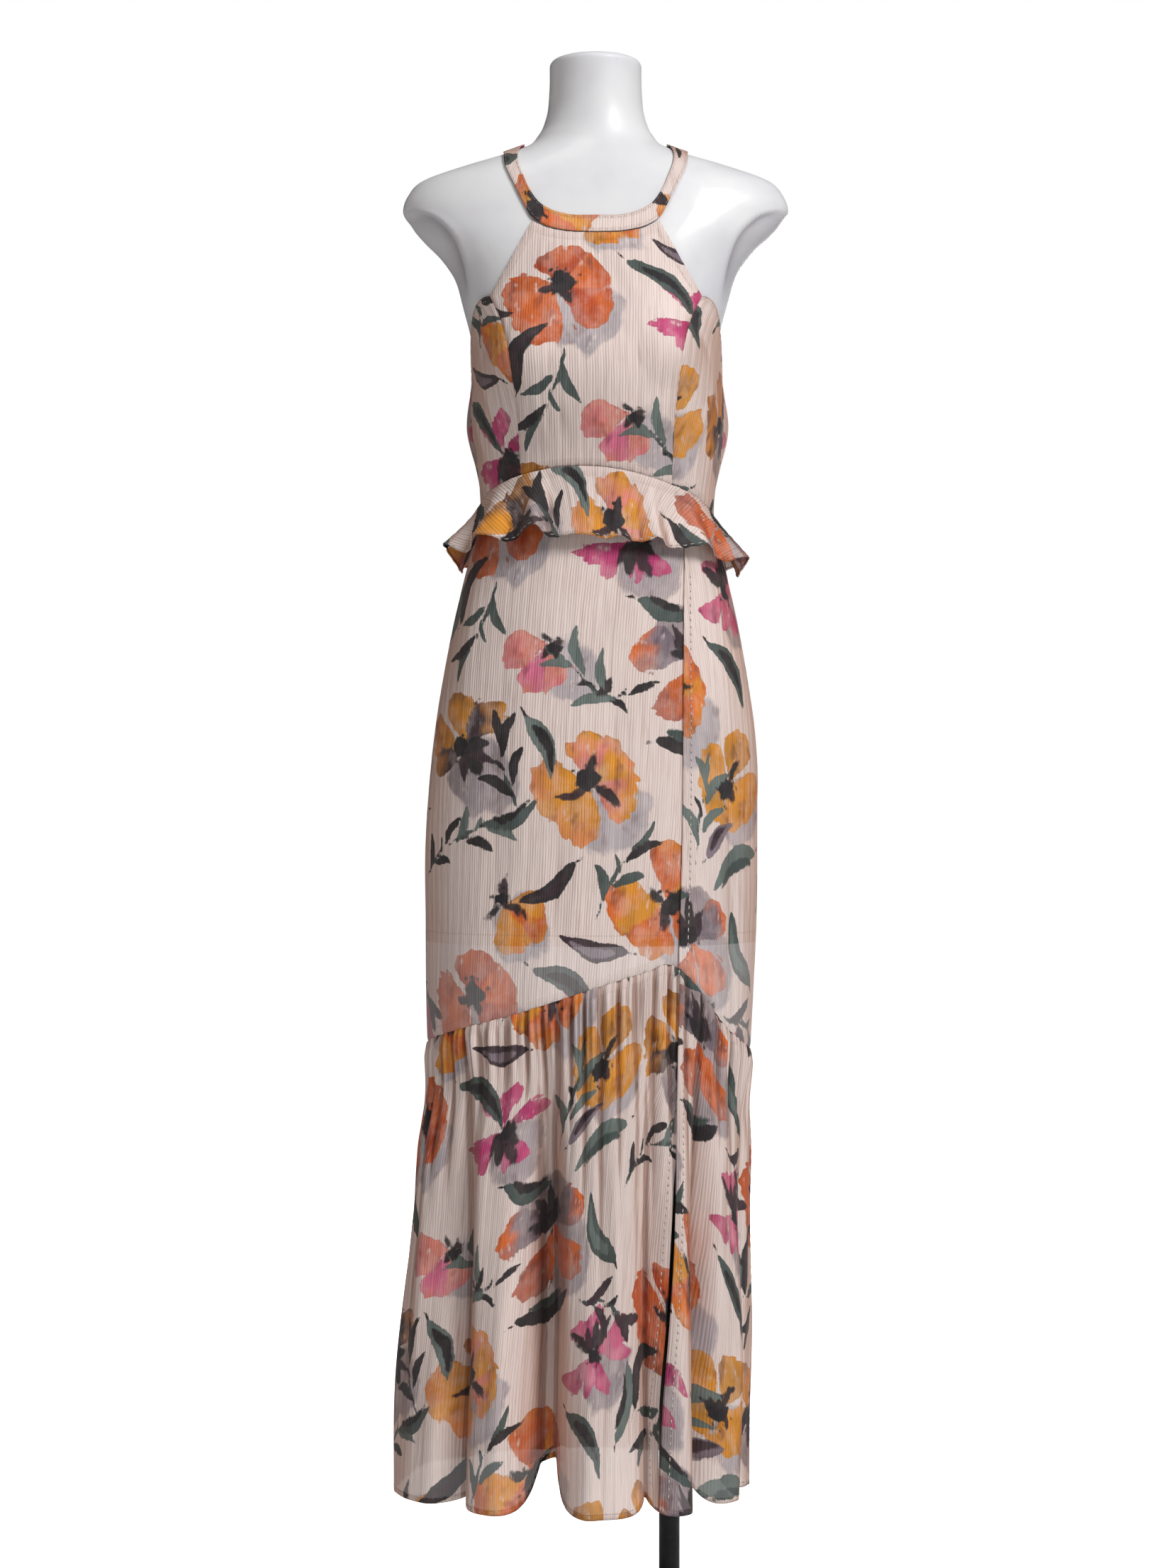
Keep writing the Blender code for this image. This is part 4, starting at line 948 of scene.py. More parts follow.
    def leaf(self, row):
        near, across, up = self.reach(row.x, row.y, row.length * 1.3)
        if not near.size:
            return
        turn = math.radians(row.turn)
        self.stroke(
            "leaf", near, across, up, turn, 0.0, row.length, row.half_width, INKS[row.ink],
            bend=row.bend, blunt=0.42,
        )
        side = 0.42 * row.half_width
        self.stroke(
            "centre", near, across + side * math.sin(turn), up - side * math.cos(turn), turn,
            row.length * 0.16, row.length * 0.72, row.half_width * 0.52, INKS[row.over],
            bend=row.bend, blunt=0.36,
        )
        self.stroke("leaf", near, across, up, turn, -0.012, 0.016, 0.0016, INKS["charcoal"])

    def spray(self, row):
        turn = math.radians(row.turn)
        near, across, up = self.reach(row.x, row.y, row.length * 1.7)
        if not near.size:
            return
        self.stroke("leaf", near, across, up, turn, 0.0, row.length, 0.0021, INKS["moss"], bend=0.05)
        for i in range(row.leaves):
            share = 0.25 + 0.75 * i / (row.leaves - 1)
            side = -1 if i % 2 else 1
            lean = side * (0.85 - 0.75 * share * (i == row.leaves - 1) - 0.25 * share)
            foot_x = row.length * share * math.cos(turn) * 0.96
            foot_y = row.length * share * math.sin(turn) * 0.96
            size = row.leaf_length * (0.78 + 0.32 * math.sin(2.2 * i + 0.6))
            ink = INKS["charcoal"] if (i * 3 + int(row.x * 100)) % 4 == 0 else INKS[row.ink]
            self.stroke(
                "leaf", near, across - foot_x, up - foot_y, turn + lean, 0.0, size, size * 0.125, ink,
                bend=-0.10 * side,
            )

    def chart(self):
        for rows, draw in ((BLOOMS, self.bloom), (LEAVES, self.leaf), (SPRAYS, self.spray)):
            for row in rows:
                draw(row)


# Meshes

def raw_mesh(name, bm):
    """Turns a bmesh shape into a mesh and gives its points."""
    mesh = bpy.data.meshes.new(name)
    bm.to_mesh(mesh)
    bm.free()
    points = np.empty(len(mesh.vertices) * 3)
    mesh.vertices.foreach_get("co", points)
    return mesh, points.reshape(-1, 3)


def link_piece(name, data):
    obj = bpy.data.objects.new(name, data)
    bpy.context.scene.collection.objects.link(obj)
    return obj


def set_points(mesh, points):
    mesh.vertices.foreach_set("co", points.ravel())
    mesh.update()
    mesh.shade_smooth()


def store(mesh, name, values):
    """Stores a number or a colour for each of the mesh's points."""
    kind, field = ("FLOAT", "value") if values.ndim == 1 else ("FLOAT_COLOR", "color")
    attribute = mesh.attributes.new(name, kind, "POINT")
    attribute.data.foreach_set(field, values.astype(np.float32).ravel())


def print_cloth(mesh, flat_x, flat_y):
    """Stores the print on the mesh's points."""
    pattern = Print(flat_x, flat_y)
    pattern.chart()
    for layer in LAYERS:
        depth = pattern.depth[layer][:, None] * 100.0
        store(mesh, f"ink_{layer}", np.concatenate([pattern.colour[layer], depth], axis=1))


def flat_map(mesh, flat_x, flat_y):
    """Stores the flat cloth's coordinates as the mesh's UV map."""
    corners = np.empty(len(mesh.loops), np.int32)
    mesh.loops.foreach_get("vertex_index", corners)
    flat = np.stack([flat_x[corners], flat_y[corners]], axis=1)
    mesh.uv_layers.new(name="flat_cloth").data.foreach_set("uv", flat.astype(np.float32).ravel())


# Sheets

Laid = namedtuple("Laid", "points normals across down")


def outward(points, normals):
    """Unit normals, turned away from the upright axis."""
    normals = unit(normals)
    facing_out = (points[..., :2] * normals[..., :2]).sum(axis=-1).mean() > 0
    return normals if facing_out else -normals


def lay_out(place, columns, rows):
    """Points, outward normals and lengths along and down a sheet, as arrays of rows by columns."""
    u, v = np.meshgrid(columns, rows)
    points = place(u, v)
    normals = outward(points, np.cross(np.gradient(points, axis=1), np.gradient(points, axis=0)))
    across = np.zeros(points.shape[:2])
    across[:, 1:] = np.cumsum(np.linalg.norm(np.diff(points, axis=1), axis=2), axis=1)
    down = np.zeros(points.shape[:2])
    down[1:] = np.cumsum(np.linalg.norm(np.diff(points, axis=0), axis=2), axis=0)
    return Laid(points, normals, across, down)


CREASE_RADIUS = 0.145        # turns a crease's angles into lengths


def crease_relief(points):
    """Rise of the hand-laid creases at points of the bodice and skirt."""
    angle = np.arctan2(points[..., 0], -points[..., 1])
    height = points[..., 2]
    relief = np.zeros(angle.shape)
    for row in CREASES:
        start = np.radians(turn_between(angle, row.angle)) * CREASE_RADIUS
        rise = height - row.height
        run_x = math.radians(row.to_angle - row.angle) * CREASE_RADIUS
        run_y = row.to_height - row.height
        share = np.clip((start * run_x + rise * run_y) / (run_x**2 + run_y**2), 0.0, 1.0)
        away = np.hypot(start - share * run_x, rise - share * run_y)
        wave = 0.004 * cloud(share * 5.0 + row.angle, away * 0.0)
        faded = np.sin(math.pi * (0.06 + 0.88 * share))
        relief = relief + row.rise * hill(away + wave * 0.3, row.spread) * faded
    return relief


def crinkle_relief(x, y):
    """Low uneven ridges of the crinkled cloth, along its grain."""
    slow = cloud(x / 0.031 + 11, y / 0.060)
    first = np.sin(2 * math.pi * (x + 0.0016 * cloud(x / 0.02, y / 0.045 + 3)) / 0.0072)
    second = np.sin(2 * math.pi * (x + 0.0022 * cloud(x / 0.017 + 7, y / 0.038)) / 0.0113 + 1.0)
    return CRINKLE_RISE * (0.7 * first * (1 + 0.6 * slow) + 0.9 * second)


def hollows(face, normals, reach=4):
    """0 to 1: how deep a place lies between its neighbours across the sheet, which sets the painted fold
    shade.
    """
    deep = np.zeros(face.shape[:2])
    middle = face[:, reach:-reach]
    rise = (face[:, 2 * reach:] + face[:, :-2 * reach]) / 2 - middle
    deep[:, reach:-reach] = (rise * normals[:, reach:-reach]).sum(axis=2)
    return np.clip(deep / HOLLOW_DEEP, 0.0, 1.0)


Cut = namedtuple("Cut", "flat_x flat_y")


def cut_straight(offset_x, offset_y):
    """Panel laid flat about its middle column, its grain upright."""

    def cut(laid, u, v):
        middle = laid.points.shape[1] // 2
        rising = 1.0 if laid.points[-1, :, 2].mean() > laid.points[0, :, 2].mean() else -1.0
        flat_x = laid.across - laid.across[:, middle:middle + 1]
        half_way = laid.points[laid.points.shape[0] // 2]
        if half_way[-1, 0] < half_way[0, 0]:
            flat_x = -flat_x
        return Cut(flat_x + offset_x, laid.points[0:1, :, 2] + rising * laid.down + offset_y)

    return cut


def cut_gathered(offset_x, offset_y):
    """Rectangle gathered at its top."""

    def cut(laid, u, v):
        width = laid.across[:, -1].mean()
        flat_y = laid.points[0, :, 2].max() - laid.down
        return Cut(u * width + offset_x, flat_y + offset_y)

    return cut


RUFFLE_INNER = 0.118        # inner radius of the ruffle's circular cut


def cut_circular(offset_x, offset_y):
    """Part of a ring whose inner edge is the seam."""

    def cut(laid, u, v):
        seam = laid.across[0]
        turn = (seam - seam[-1] / 2) / RUFFLE_INNER
        radius = RUFFLE_INNER + laid.down
        return Cut(radius * np.sin(turn) + offset_x, -radius * np.cos(turn) + offset_y)

    return cut


TURN_DEPTH = 2.2 * SHEET_THICK
# Section of a turned edge: share of its width and of its depth
TURN_PROFILE = [(1.0, 0.9), (0.55, 1.0), (0.12, 0.95), (0.0, 0.55)]


def stations(count, turned_start, turned_end):
    """Index into the laid rows or columns and depth behind the face, with turned edges at either end."""
    index, depth = list(range(count)), [0.0] * count
    levels = [level * TURN_DEPTH for _, level in TURN_PROFILE]
    if turned_start:
        index = [round(turned_start * share) for share, _ in TURN_PROFILE] + index
        depth = levels + depth
    if turned_end:
        index += [count - 1 - round(turned_end * share) for share, _ in reversed(TURN_PROFILE)]
        depth += levels[::-1]
    return np.array(index), np.array(depth)


EDGES = {"l": (np.s_[:, 0], np.s_[:, 1]), "r": (np.s_[:, -1], np.s_[:, -2]), "t": (0, 1), "b": (-1, -2)}


def cloth_relief(laid, flat, distance, seams, creased):
    """Rise of the crinkle, creases and dipped seams over the laid sheet."""
    relief = crinkle_relief(flat.flat_x, flat.flat_y)
    if creased:
        relief = relief + crease_relief(laid.points)
    for edge in seams:
        dip = hill(distance[edge], SEAM_DIP_WIDTH)
        along_seam = flat.flat_y if edge in "lr" else flat.flat_x
        pucker = 1 + 0.25 * np.sin(2 * math.pi * along_seam / PUCKER_SPACING)
        relief = relief - SEAM_DIP * dip * pucker
    calm = np.ones(relief.shape)
    for edge in EDGES:
        calm = calm * soft_step(distance[edge] / 0.002 + 0.25)
    return np.where(relief > 0, relief * calm, relief)


def build_sheet(name, place, columns, rows, material, cut, seams="", turned=None, creased=False):
    """Thin sheet of cloth.

    seams names the sewn edges (l, r, t, b, where t is the first row), turned gives the width of turned edges.
    """
    turned = turned or {}
    laid = lay_out(place, columns, rows)
    flat = cut(laid, *np.meshgrid(columns, rows))
    distance = {
        "l": laid.across, "r": laid.across[:, -1:] - laid.across,
        "t": laid.down, "b": laid.down[-1:] - laid.down,
    }
    relief = cloth_relief(laid, flat, distance, seams, creased)
    face = laid.points + laid.normals * relief[..., None]
    from_seam = np.full(relief.shape, 1.0)
    for edge in seams:
        last, inner = EDGES[edge]
        face[last] += SEAM_MEET * unit(face[last] - face[inner])
        from_seam = np.minimum(from_seam, distance[edge] / SEAM_ALLOWANCE)
    from_turn = np.full(relief.shape, 3.0)
    for edge, width in turned.items():
        from_turn = np.minimum(from_turn, distance[edge] / width)

    step_across = laid.across[:, -1].mean() / (len(columns) - 1)
    step_down = laid.down[-1].mean() / (len(rows) - 1)
    column_index, column_depth = stations(
        len(columns), turned.get("l", 0.0) / step_across, turned.get("r", 0.0) / step_across
    )
    row_index, row_depth = stations(
        len(rows), turned.get("t", 0.0) / step_down, turned.get("b", 0.0) / step_down
    )
    pick = np.ix_(row_index, column_index)
    depth = row_depth[:, None] + column_depth[None, :]
    points = face[pick] - laid.normals[pick] * depth[..., None]

    bm = bmesh.new()
    across, down = len(column_index) - 1, len(row_index) - 1
    bmesh.ops.create_grid(bm, x_segments=across, y_segments=down, size=1.0)
    mesh, grid = raw_mesh(name, bm)
    column = np.rint((grid[:, 0] + 1) / 2 * across).astype(int)
    row = np.rint((grid[:, 1] + 1) / 2 * down).astype(int)
    set_points(mesh, points[row, column])
    normals = np.empty(len(mesh.vertices) * 3)
    mesh.vertices.foreach_get("normal", normals)
    wanted = laid.normals[pick][row, column]
    if (normals.reshape(-1, 3) * wanted)[depth[row, column] == 0].sum() < 0:
        mesh.flip_normals()
    flat_x, flat_y = flat.flat_x[pick][row, column], flat.flat_y[pick][row, column]
    flat_map(mesh, flat_x, flat_y)
    # the blue channel is the fold depth from which the material paints shade into folds
    sewing = np.stack([from_seam, from_turn, hollows(face, laid.normals), np.ones(relief.shape)], axis=-1)
    store(mesh, "sewing", sewing[pick][row, column])
    if name != "lining":
        print_cloth(mesh, flat_x, flat_y)
    mesh.materials.append(material)
    return link_piece(name, mesh)


def steps(length, spacing):
    return np.linspace(0.0, 1.0, max(3, round(length / spacing) + 1))


# Node groups

def new_group(name, outputs, inputs=()):
    group = bpy.data.node_groups.new(name, "ShaderNodeTree")
    for socket, kind in inputs:
        group.interface.new_socket(name=socket, in_out="INPUT", socket_type=kind)
    for socket, kind in outputs:
        group.interface.new_socket(name=socket, in_out="OUTPUT", socket_type=kind)
    start = group.nodes.new("NodeGroupInput") if inputs else None
    return group, start, group.nodes.new("NodeGroupOutput")


def math_node(tree, operation, first, second=None):
    node = tree.nodes.new("ShaderNodeMath")
    node.operation = operation
    for socket, value in zip(node.inputs, (first, second)):
        if value is None:
            continue
        if isinstance(value, (int, float)):
            socket.default_value = value
        else:
            tree.links.new(value, socket)
    return node.outputs[0]


def times(tree, first, second):
    return math_node(tree, "MULTIPLY", first, second)


def plus(tree, first, second):
    return math_node(tree, "ADD", first, second)


def minus(tree, first, second):
    return math_node(tree, "SUBTRACT", first, second)


def map_range(tree, value, low, high, to_low=0.0, to_high=1.0, smooth=True):
    node = tree.nodes.new("ShaderNodeMapRange")
    node.interpolation_type = "SMOOTHSTEP" if smooth else "LINEAR"
    for socket, number in zip(("From Min", "From Max", "To Min", "To Max"), (low, high, to_low, to_high)):
        node.inputs[socket].default_value = number
    tree.links.new(value, node.inputs["Value"])
    return node.outputs["Result"]


def mix_colour(tree, factor, first, second, blend="MIX"):
    node = tree.nodes.new("ShaderNodeMix")
    node.data_type = "RGBA"
    node.blend_type = blend
    for index, value in ((0, factor), (6, first), (7, second)):
        socket = node.inputs[index]
        if isinstance(value, bpy.types.NodeSocket):
            tree.links.new(value, socket)
        elif index == 0:
            socket.default_value = value
        else:
            socket.default_value = (*value, 1.0)
    return node.outputs[2]


def noise(tree, vector, scale, detail=2.0, roughness=0.5):
    node = tree.nodes.new("ShaderNodeTexNoise")
    node.inputs["Scale"].default_value = scale
    node.inputs["Detail"].default_value = detail
    node.inputs["Roughness"].default_value = roughness
    tree.links.new(vector, node.inputs["Vector"])
    return node.outputs["Fac"]


def stretched(tree, vector, scale):
    node = tree.nodes.new("ShaderNodeMapping")
    node.inputs["Scale"].default_value = scale
    tree.links.new(vector, node.inputs["Vector"])
    return node.outputs["Vector"]


def flat_cloth(tree):
    node = tree.nodes.new("ShaderNodeUVMap")
    node.uv_map = "flat_cloth"
    return node.outputs["UV"]


def flat_noise(tree, across, lengthways, detail=2.0, roughness=0.6):
    """Noise on the flat cloth, by its waves to a metre across and along the grain."""
    return noise(tree, stretched(tree, flat_cloth(tree), (across, lengthways, 1.0)), 1.0, detail, roughness)


def parts_of(tree, vector):
    node = tree.nodes.new("ShaderNodeSeparateXYZ")
    tree.links.new(vector, node.inputs["Vector"])
    return node


def point_value(tree, name):
    """Node that reads a value stored on the mesh's points."""
    node = tree.nodes.new("ShaderNodeAttribute")
    node.attribute_name = name
    return node


SMEAR = paint(150, 128, 140)        # grey that runs into the petals
Ink = namedtuple("Ink", "layer soft cover bleed rim")
INK_LAYERS = table(
    Ink,
    ("wash", 0.40, 0.78, 0.50, 0.10),
    ("petal", 0.08, 0.98, 0.42, 0.12),
    ("shade", 0.16, 0.97, 0.40, 0.0),
    ("leaf", 0.06, 0.99, 0.22, 0.16),
    ("centre", 0.12, 1.00, 0.30, 0.0),
)


def watercolour_group():
    """Lays the inks over the ground: ragged edges, pooled rims and uneven washes."""
    group, _, end = new_group("watercolour", [("Color", "NodeSocketColor")])
    fibre = flat_noise(group, 420.0, 90.0)
    pool = flat_noise(group, 46.0, 34.0, 3.0)
    blot = flat_noise(group, 150.0, 110.0)
    smear = flat_noise(group, 58.0, 30.0)
    brushed = flat_noise(group, 96.0, 44.0, 2.0, 0.55)
    ground_tone = flat_noise(group, 9.0, 5.0, 2.0, 0.5)
    colour = mix_colour(group, map_range(group, ground_tone, 0.35, 0.65), GROUND, GROUND * 0.93)
    for ink in INK_LAYERS:
        source = point_value(group, f"ink_{ink.layer}")
        ragged = times(group, minus(group, fibre, 0.5), ink.bleed)
        blotted = times(group, minus(group, blot, 0.5), ink.bleed * 1.6)
        depth = plus(group, plus(group, source.outputs["Alpha"], ragged), blotted)
        cover = map_range(group, depth, -ink.soft, ink.soft, 0.0, ink.cover)
        soaked = ink.layer in ("wash", "petal")
        thin = map_range(group, pool, 0.40, 0.66, 0.0, 0.22 if soaked else 0.03)
        body = mix_colour(group, thin, source.outputs["Color"], GROUND * 1.02)
        if soaked:
            smeared = map_range(group, smear, 0.54, 0.72, 0.0, 0.62)
            body = mix_colour(group, smeared, body, SMEAR, "MULTIPLY")
            cover = times(group, cover, map_range(group, brushed, 0.62, 0.74, 1.0, 0.35))
        rim = map_range(group, depth, ink.soft * 0.6, ink.soft * 0.6 + 0.16, ink.rim, 0.0)
        body = mix_colour(group, rim, body, GROUND * 0.05)
        colour = mix_colour(group, cover, colour, body)
    group.links.new(colour, end.inputs["Color"])
    return group


def crinkle_group():
    """Fine uneven creases along the grain: paints shade into their valleys and fine grooves and gives their
    height, with the weave on top.
    """
    group, start, end = new_group(
        "crinkle", [("Color", "NodeSocketColor"), ("Height", "NodeSocketFloat")],
        [("Color", "NodeSocketColor"), ("Tone", "NodeSocketColor")],
    )
    wander = flat_noise(group, 70.0, 8.0, 2.0, 0.55)
    strength = flat_noise(group, 300.0, 13.0, 1.0, 0.5)
    patch = flat_noise(group, 40.0, 6.0, 2.0, 0.5)
    fine = flat_noise(group, 520.0, 26.0, 1.0, 0.5)
    weave = flat_noise(group, 1900.0, 1500.0, 0.0, 0.5)
    phase = times(group, parts_of(group, flat_cloth(group)).outputs["X"], 2 * math.pi / CRINKLE_SPACING)
    ridge = math_node(group, "SINE", plus(group, phase, times(group, wander, 11.0)))
    held = map_range(group, strength, 0.34, 0.60, 0.42, 1.0)
    painted_valley_shade = times(group, map_range(group, ridge, -1.0, -0.10, 1.0, 0.0), held)
    thread = map_range(group, fine, 0.54, 0.70, 0.0, 0.34)
    # painted shade in the crease valleys and fine grooves
    dark = math_node(group, "MAXIMUM", times(group, painted_valley_shade, 0.72), thread)
    dark = times(group, dark, map_range(group, patch, 0.34, 0.62, 0.55, 1.0))
    colour = mix_colour(group, dark, start.outputs["Color"], start.outputs["Tone"], "MULTIPLY")
    height = minus(group, times(group, times(group, ridge, held), 0.5), times(group, thread, 0.8))
    height = plus(group, height, times(group, weave, 0.15))
    group.links.new(colour, end.inputs["Color"])
    group.links.new(height, end.inputs["Height"])
    return group


def sewing_and_fold_shade_group():
    """Painted shade in folds from the stored fold depth, and the darker tone, opacity and rise of doubled
    cloth, from the stored distances to the seams and turned edges.
    """
    outputs = [(name, "NodeSocketFloat") for name in ("Shade", "Double", "Height")]
    group, _, end = new_group("sewing", outputs)
    split = group.nodes.new("ShaderNodeSeparateColor")
    group.links.new(point_value(group, "sewing").outputs["Color"], split.inputs["Color"])
    fray = times(group, minus(group, flat_noise(group, 240.0, 240.0), 0.5), 0.30)
    seam = map_range(group, plus(group, split.outputs["Red"], fray), 0.86, 0.96, 1.0, 0.0)
    turn = map_range(group, split.outputs["Green"], 0.94, 1.06, 1.0, 0.0)
    from_stitch = math_node(group, "ABSOLUTE", minus(group, split.outputs["Green"], 0.86))
    stitch_dip = map_range(group, from_stitch, 0.0, 0.14, 1.0, 0.0)
    double = math_node(group, "MAXIMUM", seam, turn)
    group.links.new(double, end.inputs["Double"])
    shade = math_node(group, "MAXIMUM", times(group, seam, 0.18), times(group, turn, 0.14))
    # painted shade deep in folds, from the stored fold depth
    hollow = map_range(group, split.outputs["Blue"], 0.05, 1.0, 0.0, 1.0)
    shade = math_node(group, "MAXIMUM", shade, hollow)
    group.links.new(shade, end.inputs["Shade"])
    group.links.new(minus(group, times(group, double, 0.7), stitch_dip), end.inputs["Height"])
    return group


def place_group(tree, group):
    node = tree.nodes.new("ShaderNodeGroup")
    node.node_tree = group
    return node


def new_material(name, roughness, colour=None, **sockets):
    material = bpy.data.materials.new(name)
    material.use_nodes = True
    shader = material.node_tree.nodes["Principled BSDF"]
    shader.inputs["Roughness"].default_value = roughness
    if colour is not None:
        shader.inputs["Base Color"].default_value = (*colour, 1.0)
    for socket, value in sockets.items():
        shader.inputs[socket.replace("_", " ")].default_value = value
    return material, material.node_tree, shader


def bump(tree, shader, height, distance, strength=1.0):
    node = tree.nodes.new("ShaderNodeBump")
    node.inputs["Strength"].default_value = strength
    node.inputs["Distance"].default_value = distance
    tree.links.new(height, node.inputs["Height"])
    tree.links.new(node.outputs["Normal"], shader.inputs["Normal"])


LINING_TURN = 0.011                     # the top of the lining's turned hem, which shows through
FOLD_SHADE = (0.60, 0.50, 0.46)         # painted shade deep in a fold or a fine crease; also darkens doubled cloth at seams and turned edges
EDGE_ON_SHADE = (0.66, 0.46, 0.36)      # painted shade where the sheer cloth is seen edge-on, together with the real deeper tone of its creases seen on edge


def two_tones(tree, value, low, high, first, second):
    return mix_colour(tree, map_range(tree, value, low, high), paint(*first), paint(*second))


def chiffon_material(name, watercolour, crinkle, sewing, cover):
    """Printed cloth. cover is its opacity where it lies single; doubled edges are closed."""
    material, tree, shader = new_material(name, 0.78, Sheen_Weight=0.12, Sheen_Roughness=0.45)
    ink = place_group(tree, watercolour)
    creased = place_group(tree, crinkle)
    # the crinkle's crease valleys take the painted fold shade colour
    creased.inputs["Tone"].default_value = (*FOLD_SHADE, 1.0)
    seams_and_fold_shade = place_group(tree, sewing)
    tree.links.new(ink.outputs["Color"], creased.inputs["Color"])
    # painted shade in folds and hollows, and the darker doubled cloth at seams and turned edges
    shown = mix_colour(tree, seams_and_fold_shade.outputs["Shade"], creased.outputs["Color"], FOLD_SHADE, "MULTIPLY")
    # painted shade towards edges that turn away from view, partly the real deeper tone of sheer cloth seen
    # edge-on
    facing = tree.nodes.new("ShaderNodeLayerWeight")
    facing.inputs["Blend"].default_value = 0.5
    edge_on_shade = map_range(tree, facing.outputs["Facing"], 0.24, 0.80, 0.0, 0.86)
    shown = mix_colour(tree, edge_on_shade, shown, EDGE_ON_SHADE, "MULTIPLY")
    if cover < 1.0:
        closed = map_range(tree, seams_and_fold_shade.outputs["Double"], 0.0, 1.0, cover, 1.0)
        tree.links.new(closed, shader.inputs["Alpha"])
    if name == "chiffon_skirt":
        # the lining ends in a fold with a line of stitches over it, and the skirt is paler below
        height = parts_of(tree, object_coordinates(tree)).outputs["Z"]
        below = map_range(tree, height, LINING_HEM - 0.0006, LINING_HEM + 0.0006, 1.0, 0.0)
        fold = math_node(tree, "ABSOLUTE", minus(tree, height, LINING_HEM + LINING_TURN))
        fold = map_range(tree, fold, 0.0004, 0.0012, 0.45, 0.0)
        shown = mix_colour(tree, fold, shown, (0.80, 0.75, 0.72), "MULTIPLY")
        shown = mix_colour(tree, times(tree, below, 0.16), shown, (1.0, 0.96, 0.97))
    tree.links.new(shown, shader.inputs["Base Color"])
    bump(tree, shader, plus(tree, creased.outputs["Height"], seams_and_fold_shade.outputs["Height"]), 0.0005, 0.6)
    return material


def lining_material():
    material, tree, shader = new_material("lining_cloth", 0.62, Sheen_Weight=0.1)
    weave = flat_noise(tree, 900.0, 900.0, 1.0, 0.5)
    soft = flat_noise(tree, 14.0, 8.0, 2.0, 0.5)
    colour = two_tones(tree, soft, 0.35, 0.65, (222, 200, 188), (212, 188, 176))
    tree.links.new(colour, shader.inputs["Base Color"])
    bump(tree, shader, weave, 0.00015, 0.4)
    return material


def object_coordinates(tree):
    return tree.nodes.new("ShaderNodeTexCoord").outputs["Object"]


def form_material():
    """White satin shell with faint handling marks and painted shade on the stumps' ends."""
    material, tree, shader = new_material("form_white", 0.42, Coat_Weight=0.08)
    where = object_coordinates(tree)
    mottle = noise(tree, where, 9.0, 3.0, 0.6)
    marks = noise(tree, stretched(tree, where, (60.0, 60.0, 22.0)), 1.0, 4.0, 0.7)
    colour = two_tones(tree, mottle, 0.38, 0.66, (233, 234, 236), (224, 224, 229))
    colour = mix_colour(tree, map_range(tree, marks, 0.66, 0.78, 0.0, 0.22), colour, paint(176, 172, 176))
    # painted shade on the stumps' ends, from the stored shade
    shade = times(tree, point_value(tree, "hollow").outputs["Fac"], 0.60)
    colour = mix_colour(tree, shade, colour, paint(150, 142, 150), "MULTIPLY")
    tree.links.new(colour, shader.inputs["Base Color"])
    tree.links.new(map_range(tree, marks, 0.3, 0.7, 0.36, 0.52), shader.inputs["Roughness"])
    bump(tree, shader, noise(tree, where, 160.0, 2.0), 0.0002, 0.25)
    return material


def metal_material():
    material, tree, shader = new_material("stand_black", 0.4, Metallic=0.35)
    where = object_coordinates(tree)
    wear = noise(tree, where, 55.0, 3.0, 0.65)
    colour = two_tones(tree, wear, 0.5, 0.75, (24, 24, 26), (44, 43, 45))
    tree.links.new(colour, shader.inputs["Base Color"])
    tree.links.new(map_range(tree, wear, 0.3, 0.7, 0.34, 0.52), shader.inputs["Roughness"])
    bump(tree, shader, noise(tree, where, 700.0, 1.0), 0.0001, 0.3)
    return material


def thread_material():
    material, tree, shader = new_material("sewing_thread", 0.55, Sheen_Weight=0.3)
    where = object_coordinates(tree)
    twist = noise(tree, stretched(tree, where, (900.0, 900.0, 2600.0)), 1.0, 1.0)
    colour = two_tones(tree, twist, 0.3, 0.7, (240, 228, 220), (222, 204, 194))
    tree.links.new(colour, shader.inputs["Base Color"])
    return material


# Dress form

FORM_TOP = 1.664
FORM_BOTTOM = 0.800
FORM_SEGMENTS = 256
TOP_ROUNDING = 0.007
BOTTOM_ROUNDING = 0.010

# The ridge that outlines each stump's flat end, by height: distance from the centre line
STUMP_RIDGE = table(
    EdgePoint,
    (1.395, 0.1265), (1.427, 0.1320), (1.450, 0.1380), (1.4655, 0.1445), (1.4805, 0.1560),
    (1.494, 0.1740), (1.503, 0.1960),
)


def stump_relief(angle, radius, height):
    """Hollows the stump's end a little outside its ridge. Gives the relief and the painted shade on the
    stump's end, darkest just outside its ridge.
    """
    offset = np.abs(radius * np.sin(angle))
    ridge = along(STUMP_RIDGE, height)
    shown = soft_step((height - 1.392) / 0.050) * soft_step((1.504 - height) / 0.014)
    inside = soft_step((offset - ridge) / 0.0085)
    relief = shown * (0.0014 * hill(offset - ridge + 0.001, 0.0035) - 0.0044 * inside)
    shade = shown * (0.42 * inside + 0.58 * hill(offset - ridge - 0.0060, 0.0045))
    return relief, shade


